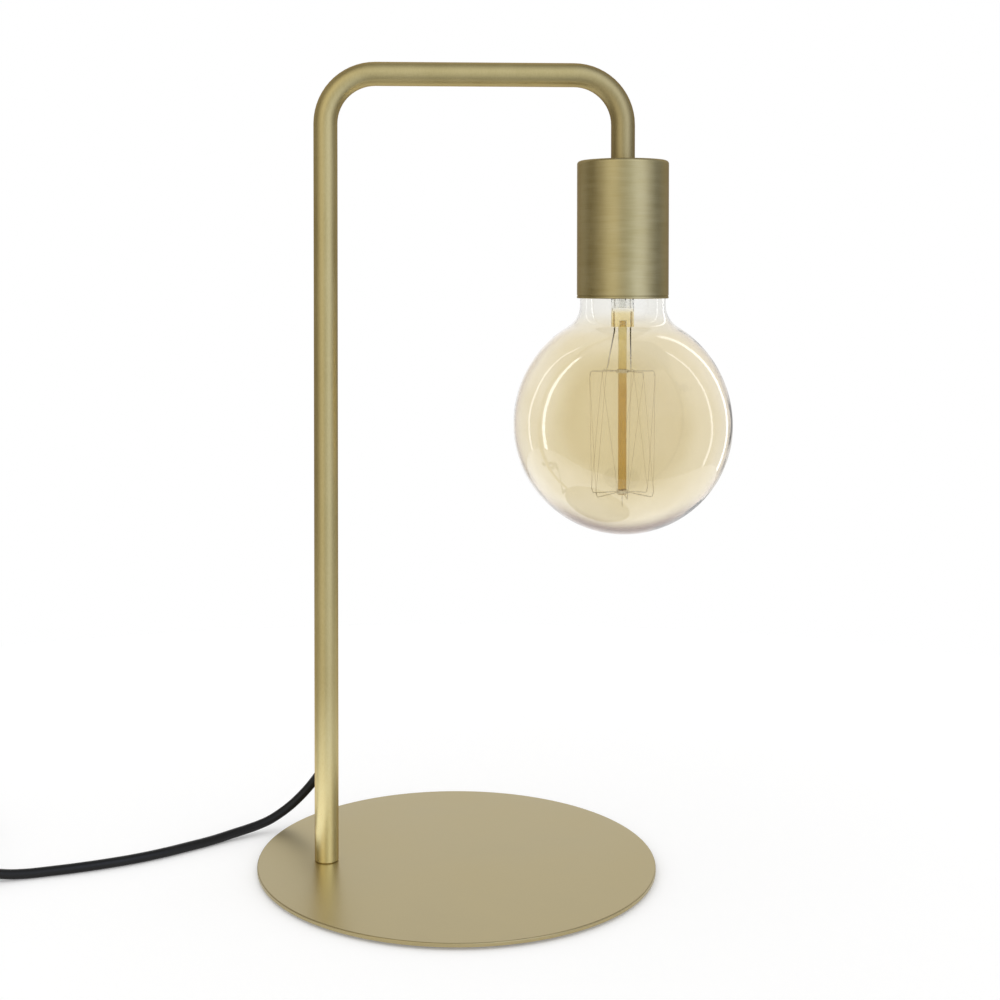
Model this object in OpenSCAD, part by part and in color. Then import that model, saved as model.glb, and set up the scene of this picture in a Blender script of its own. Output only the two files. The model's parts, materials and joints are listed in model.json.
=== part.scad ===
// Desk lamp: a bent tube on a thin round base carries a cup with a globe bulb that points down.
// Millimetres. The origin is the centre of the base's underside, +X runs from the pole to the bulb,
// +Y is the back, where the cord leaves the pole, and +Z is up.

/* [Base] */
// Diameter of the base plate
base_d = 217; // [190:1:260]
// Thickness of the base plate
base_t = 2; // [2:0.5:5]
// Round on the base plate's upper edge
base_edge = 0.6; // [0.2:0.1:1]
// Thickness of the soft pad under the base plate
pad_t = 1.5; // [1.5:0.5:3]
// Distance from the base plate's edge to the pad's edge
pad_inset = 4; // [1:0.5:8]

/* [Tube] */
// Outside diameter of the bent tube
tube_d = 13; // [12.5:0.5:16]
// Wall of the bent tube
tube_wall = 2; // [1.75:0.05:2.2]
// Height of the arm's centre line above the base plate
arm_h = 428.4; // [400:0.4:520]
// Distance from the pole's axis to the cup's axis
arm_reach = 162.1; // [140:0.1:220]
// Distance from the base's centre to the pole's axis
pole_offset = 71; // [50:0.5:80]
// Radius of the bends, on the tube's centre line
bend_r = 27; // [22:1:36]
// Straight length of the tube between the second bend and the cup
drop_l = 19.6; // [14:0.1:60]
// Height of the cord's hole above the base plate
hole_h = 45; // [35:1:70]

/* [Lamp cup] */
// Outside diameter of the cup
cup_d = 50; // [49:0.5:70]
// Height of the cup
cup_h = 75; // [74:0.5:84]
// Wall of the cup
cup_wall = 1; // [0.8:0.1:1.2]
// Round of the cup's upper edge
cup_round = 1.8; // [1.2:0.1:6]

/* [Lampholder] */
// Outside diameter of the lampholder
holder_d = 40.4; // [39:0.2:41]
// Height of the lampholder
holder_h = 55; // [54:0.5:58]
// Diameter of the threaded nipple that joins tube, cup and lampholder
nipple_d = 10; // [9.5:0.1:10.5]
// Bore of the threaded nipple
nipple_bore = 7.6; // [7.2:0.1:8]

/* [Bulb] */
// Diameter of the glass globe
globe_d = 119.4; // [95:0.2:125]
// Length of the bulb, from its contact to the bottom of the globe
bulb_l = 168.7; // [160:0.1:180]
// How much taller the globe's upper half is than its lower half
globe_rise = 2.3; // [0:0.1:6]
// Wall of the glass
glass_wall = 1; // [0.7:0.1:1.4]
// Radius of the hollow curve between the neck and the globe
neck_fillet = 14; // [8:0.5:20]
// Space between the glass neck and the inside of the cup
neck_gap = 0.6; // [0.5:0.1:2]
// Outside diameter of the bulb's screw cap, over its thread
cap_d = 26.2; // [26:0.05:26.4]
// Rise of the bulb's thread in one turn
thread_pitch = 3.63; // [3.6:0.01:3.66]
// Diameter of the glass rod inside the bulb
rod_d = 4.6; // [3:0.1:5]
// Reach of the filament's wire supports from the bulb's axis
support_r = 17.6; // [10:0.2:22]

/* [Cord set] */
// Diameter of the cord
cord_d = 5.2; // [5:0.05:5.4]
// Diameter of the two insulated wires inside the cord
wire_d = 2.1; // [1.8:0.1:2.2]
// Length of the tapered strain relief behind the pole
relief_l = 23.5; // [20:0.5:30]
// Length of the inline switch
switch_l = 62; // [60:1:64]
// Width of the inline switch
switch_w = 26; // [24:0.5:30]
// Height of the inline switch
switch_h = 17; // [16:0.5:20]
// Angle that the switch's rocker tips through
rocker_tip = 14; // [10:1:16]
// Diameter of the plug's pins
pin_d = 4; // [3.9:0.05:4.1]
// Length of the plug's pins
pin_l = 19; // [18:0.5:20]
// Distance between the plug's pins
pin_spacing = 18.6; // [18:0.1:19.2]

/* [Hidden] */
$fn = 96;

// Clearances: of a pressed or glued joint, of a simplified thread, of a spring contact, and past a face that is cut
press_gap = 0.03;
thread_gap = 0.1;
seat_gap = 0.3;
past = 1;

// Levels and axes of the frame
base_top = pad_t + base_t;
base_r = base_d / 2;
tube_r = tube_d / 2;
tube_bore = tube_d - 2 * tube_wall;
pole_x = -pole_offset;
drop_x = pole_x + arm_reach;
arm_z = base_top + arm_h;
pole_l = arm_h - bend_r;
arm_l = arm_reach - 2 * bend_r;
hole_z = base_top + hole_h;
foot_edge = 0.5;
cup_top = arm_z - bend_r - drop_l;
cup_mouth = cup_top - cup_h;
cup_bore = cup_d - 2 * cup_wall;

// Foot: a countersunk screw from below holds the tube by a threaded plug
screw_d = 5;
screw_head_d = 10;
screw_rim = 0.3;
screw_lip = 0.2;
screw_l = 12;
screw_hex = 3;
foot_plug_l = 14;

// Strain relief, and the wires' way inside the tube
relief_neck_d = cord_d + 1.8;
relief_hole_d = relief_neck_d + 2 * thread_gap;
relief_flange_d = 9.6;
relief_flange_t = 1.6;
relief_tip_d = cord_d + 1.5;
relief_ribs = 5;
sheath_end_y = 3;
wire_side = wire_d / 2 + 0.1;
wire_bend = sheath_end_y + 1.5;
wire_y = sheath_end_y - wire_bend;

// Lampholder's levels, from the cup's roof down
washer_t = 1;
nut_t = 3;
nut_flats = 14;
dome_neck_l = 9;
dome_neck_r = 8;
tap_l = 10;
terminal_h = 6.5;
terminal_w = 6;
terminal_x = 7;
wire_into_terminal = 3;
wire_straight = 1.65;
wire_out = terminal_x - wire_side;
knee_extra = 0.05;
holder_top = cup_top - cup_wall - washer_t - nut_t;
holder_mouth = holder_top - holder_h;
nipple_bottom = holder_top - dome_neck_l;
wire_drop = wire_out + 2 * wire_straight;
core_top = nipple_bottom - wire_drop - terminal_h;
core_floor = 3.3;
core_bottom = core_top - 21.8;
core_wall = 2.8;
shell_top = core_top - core_floor;
spring_h = 1.6;
spring_t = 0.4;
bulb_top = shell_top - spring_t - spring_h - seat_gap;
holder_r = holder_d / 2;
joint_z = core_top - 9.8;
spigot_l = 6;
spigot_r = holder_r - 1.3;
core_r = spigot_r - 1.3;
core_bore_r = core_r - core_wall;
ledge_t = 3;
rivet_r = 1;
rivet_inset = 2;
flange_r = 7.6;

// Bulb: the cap's thread, the glass profile and the mount inside it
cap_r = cap_d / 2;
cap_wall = 0.4;
thread_depth = 0.9;
cap_l = 27;
cap_skirt = 4.4;
thread_turns = 5;
insulator_h = 2.6;
button_r = 4.6;
button_h = 1.1;
cap_bottom = bulb_top - cap_l;
thread_start = cap_bottom + cap_skirt;
thread_end = thread_start + thread_turns * thread_pitch;
globe_r = globe_d / 2;
globe_z = bulb_top - bulb_l + globe_r;
globe_up = globe_r + globe_rise;
neck_r = cup_bore / 2 - neck_gap;
glass_top_r = cap_r - cap_wall - 0.1;
glass_top = cap_bottom + 3.6;
shoulder_r = 7;
shoulder_z = cap_bottom - 0.4 - shoulder_r;
shell_bore_r = cap_r + 0.25;
shell_wall = 0.35;
stem_r = 6.25;
stem_wall = 0.9;
stem_top = glass_top;
stem_waist = cap_bottom - 7.4;
pinch_top = stem_waist - 12.6;
pinch_bottom = pinch_top - 9.6;
pinch_t = 5.6;
lead_r = 0.45;
lead_x = 4.4;
rod_top = pinch_bottom + 4;
upper_rise = 29.3;
lower_fall = 37;
upper_z = globe_z + upper_rise;
lower_z = globe_z - lower_fall;
rod_bottom = lower_z - 1.5;
pin_below_rod = 6.5;
lead_top = bulb_top - insulator_h - 0.8 - seat_gap;
supports = 6;
support_wire_r = 0.25;
collar_r = rod_d / 2 + 1;
lower_lean = 7;
hook_bend = 1.2;
hook_l = 1.4;
filament_r = 0.08;
free_place = 4;
lead_turns = [-13, 39];
lead_end_r = support_r - 3;
lead_end_z = upper_z + 2.4;

// Cord routes: points chosen by hand along the cord as it droops, lies on the table and reaches each piece
cord_r = cord_d / 2;
exit_point = [pole_x, tube_r + relief_l, hole_z];
lead_route = [exit_point, exit_point + [0, 6.5, -0.8], [-72.2, 43.5, 44.3], [-73.8, 49.3, 40.2], [-76.1, 53.6, 35.1],
    [-79.5, 56.5, 29.5], [-83.5, 58.4, 24], [-88.5, 58.8, 18.5], [-94, 58.2, 13.6], [-100, 56.2, 9.7],
    [-106, 53.6, 6.8], [-112.5, 50.5, 5], [-119, 46.8, 4], [-125.5, 42.6, 3.4], [-131.5, 38.4, 2.9],
    [-137.5, 34, 2.6], [-150, 25, 2.6], [-162.5, 16.6, 2.6], [-175.8, 9.2, 2.6], [-190, 3, 2.6],
    [-204.5, -2.2, 2.6], [-219, -6.5, 2.6], [-233, -10, 2.7],
    [-243, -12, 3.6], [-251, -13.3, 5.3], [-258, -13.9, 7.2], [-264, -14, 8.3], [-268, -14, 8.5], [-278, -14, 8.5]];
link_route = [[-320, -14, 8.5], [-330, -14, 8.5], [-336, -14, 8.3], [-342.6, -13.1, 7.3], [-348.8, -10.6, 6.1],
    [-354.1, -6.5, 5.1], [-358.2, -1.2, 4.3], [-360.7, 5, 3.9], [-361.6, 11.6, 3.9], [-361.6, 25, 3.9],
    [-361.6, 39.8, 3.9]];
tail_route = [[-358.3, 50.2, 9.6], [-358.3, 61, 9.6], [-358.1, 67, 9.5], [-357, 74, 9.1], [-354.9, 81, 8.5],
    [-352.2, 88, 7.8], [-349.8, 94.5, 7.2], [-348.5, 99.2, 6.95], [-348, 103.2, 6.9], [-348, 110, 6.9],
    [-348, 116, 6.9]];

// Coil: two layers of spiral turns, wound inwards below and outwards above
coil_centre = [-318, 45];
coil_mid_r = 32.05;
coil_step = 6.6;
coil_turns_in = 3.5;
coil_turns_out = 3;
coil_rings = 24;
coil_sides = 6;
tie_t = 0.8;
tie_gap = 0.5;
tie_w = 5;
layer_low = tie_t + tie_gap + cord_r;
layer_high = layer_low + cord_d + 0.5;
coil_out_r = coil_mid_r + coil_step * coil_turns_in / 2;
coil_in_r = coil_mid_r - coil_step * coil_turns_in / 2;

// Inline switch, on the cord's axis
switch_y = -14;
switch_right = -268;
switch_x = switch_right - switch_l / 2;
split_z = 8.5;
shell_t = 1.8;
bar_plan_r = 9;
bar_top_r = 5;
pivot_z = switch_h - 4.5;
pivot_r = 1.2;
pivot_gap = 0.05;
rocker_half = 9.2;
rocker_w = 10.6;
rocker_hub = 2.6;
window_gap = 0.35;
cheek_t = 1.6;
blade_t = 0.5;
blade_half = 6.5;
blade_w = 2.4;
blade_y = 3;
contact_w = 3;
terminal_bore_z = shell_t + 2.9;
case_screw_x = 19.5;
case_screw_y = 7.4;
case_screw_r = 1.4;
case_post_r = 2.6;
clamp_x = 26;
clamp_t = 4;
cord_in_switch = 10;
pole_terminal_x = 13.4;

// Plug, along +Y with its pins pointing away from the lamp
plug_x = -348;
plug_nose_y = 104;
plug_z = 6.9;
plug_w = 35.3;
plug_t = 13.7;
plug_front_l = 15;
plug_grip_l = 11;
plug_nose_l = 12;
plug_neck_w = 16;
plug_neck_t = 11;
plug_face_y = plug_nose_y + plug_nose_l + plug_grip_l + plug_front_l;
sleeve_d = 3.5;
sleeve_l = 9.5;
pin_core_d = 2.8;
pin_rooted = 10;

// Points of an arc around c, from angle a to angle b in n steps
function arc(c, r, a, b, n) = [for (i = [0:n]) c + r * [cos(a + (b - a) * i / n), sin(a + (b - a) * i / n)]];
function unit(v) = v / norm(v);
function reversed(list) = [for (i = [len(list) - 1:-1:0]) list[i]];

// A polygon's points with each corner turned into an arc of radius r
function turn(a, b) = b - a > 180 ? b - a - 360 : b - a < -180 ? b - a + 360 : b - a;
function direction(v) = atan2(v[1], v[0]);
function corner(a, b, c, r) = let (u = unit(a - b), v = unit(c - b), half = acos(u * v) / 2,
    centre = b + unit(u + v) * r / sin(half), first = direction(b + u * r / tan(half) - centre),
    last = direction(b + v * r / tan(half) - centre)) arc(centre, r, first, first + turn(first, last), 5);
function softened(p, r) = let (n = len(p)) [for (i = [0:n - 1]) each corner(p[(i + n - 1) % n], p[i], p[(i + 1) % n], r)];

// Direction of a route at each point; the ends take the direction that is given
function headings(p, first, last) = [for (i = [0:len(p) - 1])
    i == 0 ? first : i == len(p) - 1 ? last : unit(p[i + 1] - p[i - 1])];

// One ring of a cord's surface, square to its heading, with a corner at the bottom
function cord_ring(p, heading, r, sides) =
    let (side = unit(cross(heading, [0, 0, 1])), up = cross(side, heading))
    [for (i = [0:sides - 1]) let (a = 360 * i / sides - 90) p + r * (cos(a) * side + sin(a) * up)];

// A tube of flat-sided rings along a list of points
module cord_tube(p, first, last, sides = 12) {
    n = sides;
    h = headings(p, first, last);
    points = [for (i = [0:len(p) - 1]) each cord_ring(p[i], h[i], cord_r, n)];
    walls = [for (i = [0:len(p) - 2], j = [0:n - 1])
        let (a = i * n + j, b = i * n + (j + 1) % n) each [[a, a + n, b], [b, a + n, b + n]]];
    end = (len(p) - 1) * n;
    caps = [for (j = [1:n - 2]) each [[0, j, j + 1], [end, end + j + 1, end + j]]];
    polyhedron(points, concat(walls, caps), convexity = 10);
}

// A tube or rod that follows a list of moves: [length] goes straight up, [radius, angle] bends towards +X
module run(moves, r_out, r_in = 0, i = 0) {
    if (i < len(moves)) {
        move = moves[i];
        if (len(move) == 1) {
            linear_extrude(move[0]) section(r_out, r_in);
            translate([0, 0, move[0]]) run(moves, r_out, r_in, i + 1);
        } else {
            turn = abs(move[1]);
            flip = move[1] < 0 ? 180 : 0;
            rotate([0, 0, flip]) {
                rotate([90, 0, 180]) translate([-move[0], 0, 0])
                    rotate_extrude(angle = turn) translate([move[0], 0]) section(r_out, r_in);
                translate([move[0] * (1 - cos(turn)), 0, move[0] * sin(turn)]) rotate([0, turn, 0])
                    rotate([0, 0, flip]) run(moves, r_out, r_in, i + 1);
            }
        }
    }
}

module section(r_out, r_in) {
    difference() {
        circle(r_out);
        if (r_in > 0) circle(r_in);
    }
}

// A round rod between two points
module rod(p, q, r) {
    v = q - p;
    translate(p) rotate([0, acos(v[2] / norm(v)), atan2(v[1], v[0])]) cylinder(r = r, h = norm(v), $fn = 24);
}

module ring(r_out, r_in, h) {
    difference() {
        cylinder(r = r_out, h = h);
        translate([0, 0, -past]) cylinder(r = r_in, h = h + 2 * past);
    }
}

// A rectangle with round corners, made of exact circles
module rounded(l, w, r) {
    square([l - 2 * r, w], center = true);
    square([l, w - 2 * r], center = true);
    for (x = [-1, 1], y = [-1, 1]) translate([x * (l / 2 - r), y * (w / 2 - r)]) circle(r);
}

// Base

module base_plate() {
    color([0.71, 0.66, 0.53]) difference() {
        translate([0, 0, pad_t]) rotate_extrude()
            polygon(concat([[0, 0], [base_r, 0]],
                arc([base_r - base_edge, base_t - base_edge], base_edge, 0, 90, 6), [[0, base_t]]));
        translate([pole_x, 0, base_top - screw_lip]) {
            translate([0, 0, -past]) cylinder(r = screw_d / 2 + thread_gap, h = 2 * past);
            countersink(screw_head_d / 2 + thread_gap, base_top);
        }
    }
}

// The space of a countersunk head: a cone under the plate's face, and a cylinder below it
module countersink(r, deep) {
    cone = screw_head_d / 2 - screw_d / 2;
    rotate_extrude() polygon([[0, 0], [r - cone, 0], [r, -cone], [r, -deep - past], [0, -deep - past]]);
}

module base_pad() {
    color([0.12, 0.12, 0.12]) difference() {
        cylinder(r = base_r - pad_inset, h = pad_t);
        translate([pole_x, 0, -past]) cylinder(r = screw_head_d / 2 + 1, h = pad_t + 2 * past);
    }
}

module foot_screw() {
    cone = screw_head_d / 2 - screw_d / 2;
    top = base_top - screw_lip;
    color([0.6, 0.6, 0.62]) translate([pole_x, 0, 0]) difference() {
        rotate_extrude() polygon([[0, top - cone - screw_rim], [screw_head_d / 2, top - cone - screw_rim],
            [screw_head_d / 2, top - cone], [screw_d / 2, top], [screw_d / 2, top + screw_l - 0.5],
            [screw_d / 2 - 0.5, top + screw_l], [0, top + screw_l]]);
        translate([0, 0, top - cone - screw_rim - past])
            cylinder(r = screw_hex / sqrt(3), h = past + screw_rim + 1.8, $fn = 6);
    }
}

module foot_plug() {
    r = tube_bore / 2 - press_gap;
    color([0.75, 0.65, 0.4]) translate([pole_x, 0, base_top]) difference() {
        rotate_extrude() polygon([[0, 0], [r, 0], [r, foot_plug_l - 0.8], [r - 0.8, foot_plug_l], [0, foot_plug_l]]);
        translate([0, 0, -past]) cylinder(r = screw_d / 2 + thread_gap, h = foot_plug_l + 2 * past);
    }
}

// Tube

module stem_tube() {
    color([0.72, 0.67, 0.47]) difference() {
        translate([pole_x, 0, base_top])
            run([[pole_l], [bend_r, 90], [arm_l], [bend_r, 90], [drop_l]], tube_r, tube_bore / 2);
        translate([pole_x, 0, hole_z]) rotate([-90, 0, 0]) cylinder(r = relief_hole_d / 2, h = tube_d);
        translate([drop_x, 0, cup_top - past]) cylinder(r = nipple_d / 2, h = tap_l + past);
        translate([pole_x, 0, base_top]) rotate_extrude()
            polygon([[tube_r - foot_edge - past, -past], [tube_r + 1, -past], [tube_r + 1, foot_edge + 1]]);
    }
}

// The strain relief is pushed into the hole in the pole's back: a neck in the wall, a saddle and a ribbed taper
module strain_relief() {
    root_y = tube_r + relief_flange_t;
    taper_l = relief_l - relief_flange_t;
    rib = taper_l / (2 * relief_ribs + 1);
    root_r = relief_flange_d / 2 - 0.5;
    tip_r = relief_tip_d / 2;
    function taper(y) = root_r + (tip_r - root_r) * (y - root_y) / taper_l;
    grooves = [for (i = [0:relief_ribs - 1]) let (a = root_y + rib * (2 * i + 1), b = a + rib)
        each [[taper(a), a], [taper(a) - 0.6, a + 0.3], [taper(b) - 0.6, b - 0.3], [taper(b), b]]];
    color([0.1, 0.1, 0.1]) translate([pole_x, 0, hole_z]) rotate([-90, 0, 0]) difference() {
        union() {
            difference() {
                rotate_extrude() polygon(concat([[0, 0], [relief_flange_d / 2, 0],
                    [relief_flange_d / 2, root_y - 0.4], [relief_flange_d / 2 - 0.4, root_y], [root_r, root_y]],
                    grooves, [[tip_r, root_y + taper_l], [0, root_y + taper_l]]));
                translate([0, -tube_d, 0]) rotate([-90, 0, 0])
                    cylinder(r = tube_r + 2 * press_gap, h = 2 * tube_d);
            }
            translate([0, 0, sheath_end_y]) cylinder(r = relief_neck_d / 2, h = root_y - sheath_end_y);
        }
        translate([0, 0, -past]) cylinder(r = cord_r + thread_gap, h = root_y + taper_l + 2 * past);
    }
}

module cord_entry() {
    color([0.1, 0.1, 0.1]) translate([pole_x, sheath_end_y, hole_z]) rotate([-90, 0, 0])
        cylinder(r = cord_r, h = tube_r + relief_l - sheath_end_y);
}

// A wire from the sheath's end up the pole, along the arm and down through the nipple to its terminal.
// side is 1 for the wire on the outside of the bends, and -1 for the one on the inside
module core_wire(side) {
    outward = side * wire_side;
    turn_r = bend_r + outward;
    start_z = hole_z + wire_bend;
    rise = base_top + pole_l - start_z;
    fall = arm_z - bend_r - nipple_bottom + wire_straight;
    inner = [drop_x + outward, wire_y, nipple_bottom - wire_straight];
    outer = [drop_x + side * terminal_x, wire_y, inner[2] - wire_out];
    translate([pole_x - outward, wire_y, start_z]) {
        run([[rise], [turn_r, 90], [arm_l], [turn_r, 90], [fall]], wire_d / 2, 0, 0, $fn = 32);
        translate([0, wire_bend, 0]) rotate([0, 90, 0]) rotate([0, 0, -90])
            rotate_extrude(angle = 90, $fn = 32) translate([wire_bend, 0]) circle(wire_d / 2);
    }
    rod(inner, outer, wire_d / 2);
    rod(outer, outer - [0, 0, wire_straight + wire_into_terminal], wire_d / 2);
    for (p = [inner, outer]) translate(p) sphere(wire_d / 2 + knee_extra, $fn = 32);
}

module live_wire() {
    color([0.45, 0.26, 0.13]) core_wire(1);
}

module neutral_wire() {
    color([0.1, 0.25, 0.6]) core_wire(-1);
}

// Head

module threaded_nipple() {
    r = nipple_d / 2 - thread_gap;
    h = cup_top + tap_l - seat_gap - nipple_bottom;
    color([0.7, 0.7, 0.7]) translate([drop_x, 0, nipple_bottom]) rotate_extrude()
        polygon([[nipple_bore / 2, 0], [r - 0.5, 0], [r, 0.5], [r, h - 0.5], [r - 0.5, h], [nipple_bore / 2, h]]);
}

// The cup: a spun cylinder with a round upper edge and a fine turned lip at its mouth
module lamp_cup() {
    r = cup_d / 2;
    w = cup_wall;
    lip = 0.25;
    inner_round = max(cup_round - w, 0.3);
    outer = concat([[r - lip, 0], [r, lip], [r, 1.1], [r - lip, 1.25], [r - lip, 1.55], [r, 1.7]],
        arc([r - cup_round, cup_h - cup_round], cup_round, 0, 90, 8));
    inner = concat(arc([r - w - inner_round, cup_h - w - inner_round], inner_round, 90, 0, 6), [[r - w, 0]]);
    hole = nipple_d / 2 + thread_gap;
    color([0.68, 0.62, 0.44]) translate([drop_x, 0, cup_mouth]) rotate_extrude()
        polygon(concat(outer, [[hole, cup_h], [hole, cup_h - w]], inner));
}

module toothed_washer() {
    teeth = 14;
    r = 8;
    color([0.75, 0.75, 0.75]) translate([drop_x, 0, cup_top - cup_wall - washer_t]) linear_extrude(washer_t)
        difference() {
            circle(r);
            circle(nipple_d / 2 + thread_gap);
            for (i = [1:teeth]) rotate(360 * i / teeth) translate([r - 1.2, -0.6]) square([2, 1.2]);
        }
}

module lock_nut() {
    r = nut_flats / sqrt(3);
    color([0.78, 0.68, 0.42]) translate([drop_x, 0, holder_top]) difference() {
        intersection() {
            cylinder(r = r, h = nut_t, $fn = 6);
            rotate_extrude() polygon([[0, 0], [r - 0.7, 0], [r, 0.6], [r, nut_t - 0.6], [r - 0.7, nut_t], [0, nut_t]]);
        }
        translate([0, 0, -past]) cylinder(r = nipple_d / 2, h = nut_t + 2 * past);
    }
}

// Lampholder

module holder_dome() {
    bore = nipple_d / 2;
    arc_r = holder_r - dome_neck_r;
    inner_r = core_r + 0.3;
    inner_arc = inner_r - dome_neck_r;
    shoulder = holder_top - 5;
    outer = concat([[bore, holder_top], [dome_neck_r, holder_top]],
        arc([dome_neck_r, shoulder - arc_r], arc_r, 90, 0, 12),
        [[holder_r, joint_z], [spigot_r, joint_z], [spigot_r, joint_z - spigot_l]]);
    inner = concat([[inner_r, joint_z - spigot_l]],
        arc([dome_neck_r, nipple_bottom - inner_arc], inner_arc, 0, 90, 12), [[bore, nipple_bottom]]);
    color([0.12, 0.12, 0.12]) translate([drop_x, 0, 0]) rotate_extrude() polygon(concat(outer, inner));
}

module holder_skirt() {
    mouth_r = core_bore_r + 1.2;
    color([0.12, 0.12, 0.12]) translate([drop_x, 0, 0]) rotate_extrude()
        polygon(concat([[holder_r, joint_z], [spigot_r + thread_gap, joint_z],
            [spigot_r + thread_gap, joint_z - spigot_l - 0.5], [core_r + 0.2, joint_z - spigot_l - 0.5],
            [core_r + 0.2, core_bottom], [mouth_r - 0.8, core_bottom], [mouth_r - 0.8, core_bottom - ledge_t],
            [mouth_r, core_bottom - ledge_t], [mouth_r, holder_mouth + 0.6], [mouth_r + 0.6, holder_mouth]],
            arc([holder_r - 1, holder_mouth + 1], 1, -90, 0, 6)));
}

module holder_core() {
    color([0.93, 0.92, 0.88]) translate([drop_x, 0, 0]) difference() {
        rotate_extrude() polygon([[0, core_top], [core_r - 0.6, core_top], [core_r, core_top - 0.6],
            [core_r, core_bottom], [core_bore_r, core_bottom], [core_bore_r, shell_top], [0, shell_top]]);
        for (x = rivet_places()) translate([x, wire_y, shell_top - past])
            cylinder(r = rivet_r + press_gap, h = core_floor + 2 * past, $fn = 32);
    }
}

// The live rivet carries the centre contact, and the other one the screw shell's flange
function rivet_places() = [terminal_x - rivet_inset, -terminal_x - rivet_inset];

// Radius of the bulb's thread at a height above its start
function thread_wave(z) = thread_depth / 2 * (cos(360 * z / thread_pitch) - 1);

// The shell's waves stand outwards of a bore that clears the bulb's thread
module screw_shell() {
    t = shell_wall;
    steps = 8 * thread_turns;
    low = thread_start + 1.2;
    wave = [for (i = [0:steps]) let (z = i * thread_turns * thread_pitch / steps)
        [shell_bore_r + thread_depth + thread_wave(z), low + z]];
    top = shell_top;
    outer = [for (p = wave) p + [t, 0]];
    last = shell_bore_r + thread_depth;
    color([0.8, 0.68, 0.4]) translate([drop_x, 0, 0]) difference() {
        rotate_extrude() polygon(concat(wave, [[last, top - t], [flange_r, top - t], [flange_r, top],
            [last + t, top]], reversed(outer)));
        translate([rivet_places()[1], wire_y, top - t - past])
            cylinder(r = rivet_r + press_gap, h = t + 2 * past, $fn = 32);
    }
}

// A springy strip: its foot lies under the core's floor, and its bow reaches down to the bulb's contact
module centre_contact() {
    foot = rivet_places()[0];
    line = [[foot + 1.5, 0], [foot - 1.5, 0], [1.4, -spring_h], [-1.4, -spring_h], [-3, -0.5]];
    lifted = [for (p = line) p + [0, spring_t]];
    color([0.8, 0.6, 0.35]) translate([drop_x, wire_y, shell_top - spring_t]) difference() {
        rotate([90, 0, 0]) linear_extrude(3.6, center = true) polygon(concat(line, reversed(lifted)));
        translate([foot, 0, -past]) cylinder(r = rivet_r + press_gap, h = spring_t + 2 * past, $fn = 32);
    }
}

module terminal_blocks() {
    color([0.8, 0.68, 0.4]) for (side = [-1, 1]) translate([drop_x + side * terminal_x, wire_y, core_top])
        difference() {
            translate([-terminal_w / 2, -terminal_w / 2, 0]) cube([terminal_w, terminal_w, terminal_h]);
            translate([0, 0, terminal_h - wire_into_terminal - 0.3])
                cylinder(r = wire_d / 2 + thread_gap, h = wire_into_terminal + past, $fn = 32);
            translate([0, 0, terminal_h - 1.9]) rotate([0, side * 90, 0])
                cylinder(r = 1.5 + thread_gap, h = terminal_w, $fn = 32);
            translate([-rivet_inset, 0, -past]) cylinder(r = rivet_r + press_gap, h = past + 1.4, $fn = 32);
        }
}

module terminal_screws() {
    start = wire_d / 2 + thread_gap;
    head_x = terminal_w / 2;
    color([0.75, 0.75, 0.78]) for (side = [-1, 1])
        translate([drop_x + side * terminal_x, wire_y, core_top + terminal_h - 1.9]) rotate([0, side * 90, 0])
        difference() {
            union() {
                translate([0, 0, start]) cylinder(r = 1.5, h = head_x - start, $fn = 32);
                translate([0, 0, head_x]) cylinder(r = 2.7, h = 1.8, $fn = 32);
            }
            translate([-3, -0.35, head_x + 0.9]) cube([6, 0.7, 2]);
        }
}

module contact_rivets() {
    color([0.8, 0.68, 0.4]) for (i = [0, 1]) translate([drop_x + rivet_places()[i], wire_y, 0]) {
        low = i == 0 ? shell_top - spring_t : shell_top - shell_wall;
        translate([0, 0, low]) cylinder(r = rivet_r, h = core_top + 1.2 - low, $fn = 32);
        translate([0, 0, low - 0.5]) cylinder(r = rivet_r + 0.6, h = 0.5, $fn = 32);
    }
}

// Bulb

// The globe's upper half is an oval of half height up and half width r. facing is the direction that its
// surface faces at angle a, and meeting finds the angle where an arc of radius f that ends on the neck touches it
function facing(a, r, up) = unit([up * cos(a), r * sin(a)]);
function meeting(r, up, f, n, low = 5, high = 85, tries = 30) = let (a = (low + high) / 2)
    tries == 0 ? a
    : r * cos(a) + f * facing(a, r, up)[0] > n + f ? meeting(r, up, f, n, a, high, tries - 1)
    : meeting(r, up, f, n, low, a, tries - 1);

// Half of the glass's outline, from the bottom of the globe to the top of the neck, w inside its outer face.
// An arc of neck_fillet leads from the globe into the neck, and a shoulder leads from the neck to the cap
function glass_outline(w) =
    let (r = globe_r - w, up = globe_up - w, f = neck_fillet + w, n = neck_r - w, s = shoulder_r - w,
        top_r = glass_top_r - w, a = meeting(r, up, f, n), out = facing(a, r, up),
        oval = [for (i = [1:18]) [r * cos(a * i / 18), globe_z + up * sin(a * i / 18)]],
        fillet = arc(oval[17] + f * out, f, 180 + atan2(out[1], out[0]), 180, 8))
    concat(arc([0, globe_z], r, -90, 0, 26), oval, [for (i = [1:8]) fillet[i]],
        arc([n - s, shoulder_z], s, 0, 80, 6),
        [[top_r, shoulder_z + s + 0.2], [top_r, glass_top]]);

module bulb_glass() {
    color([0.84, 0.74, 0.5, 0.4]) translate([drop_x, 0, 0]) rotate_extrude()
        polygon(concat(glass_outline(0), reversed(glass_outline(glass_wall))));
}

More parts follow.
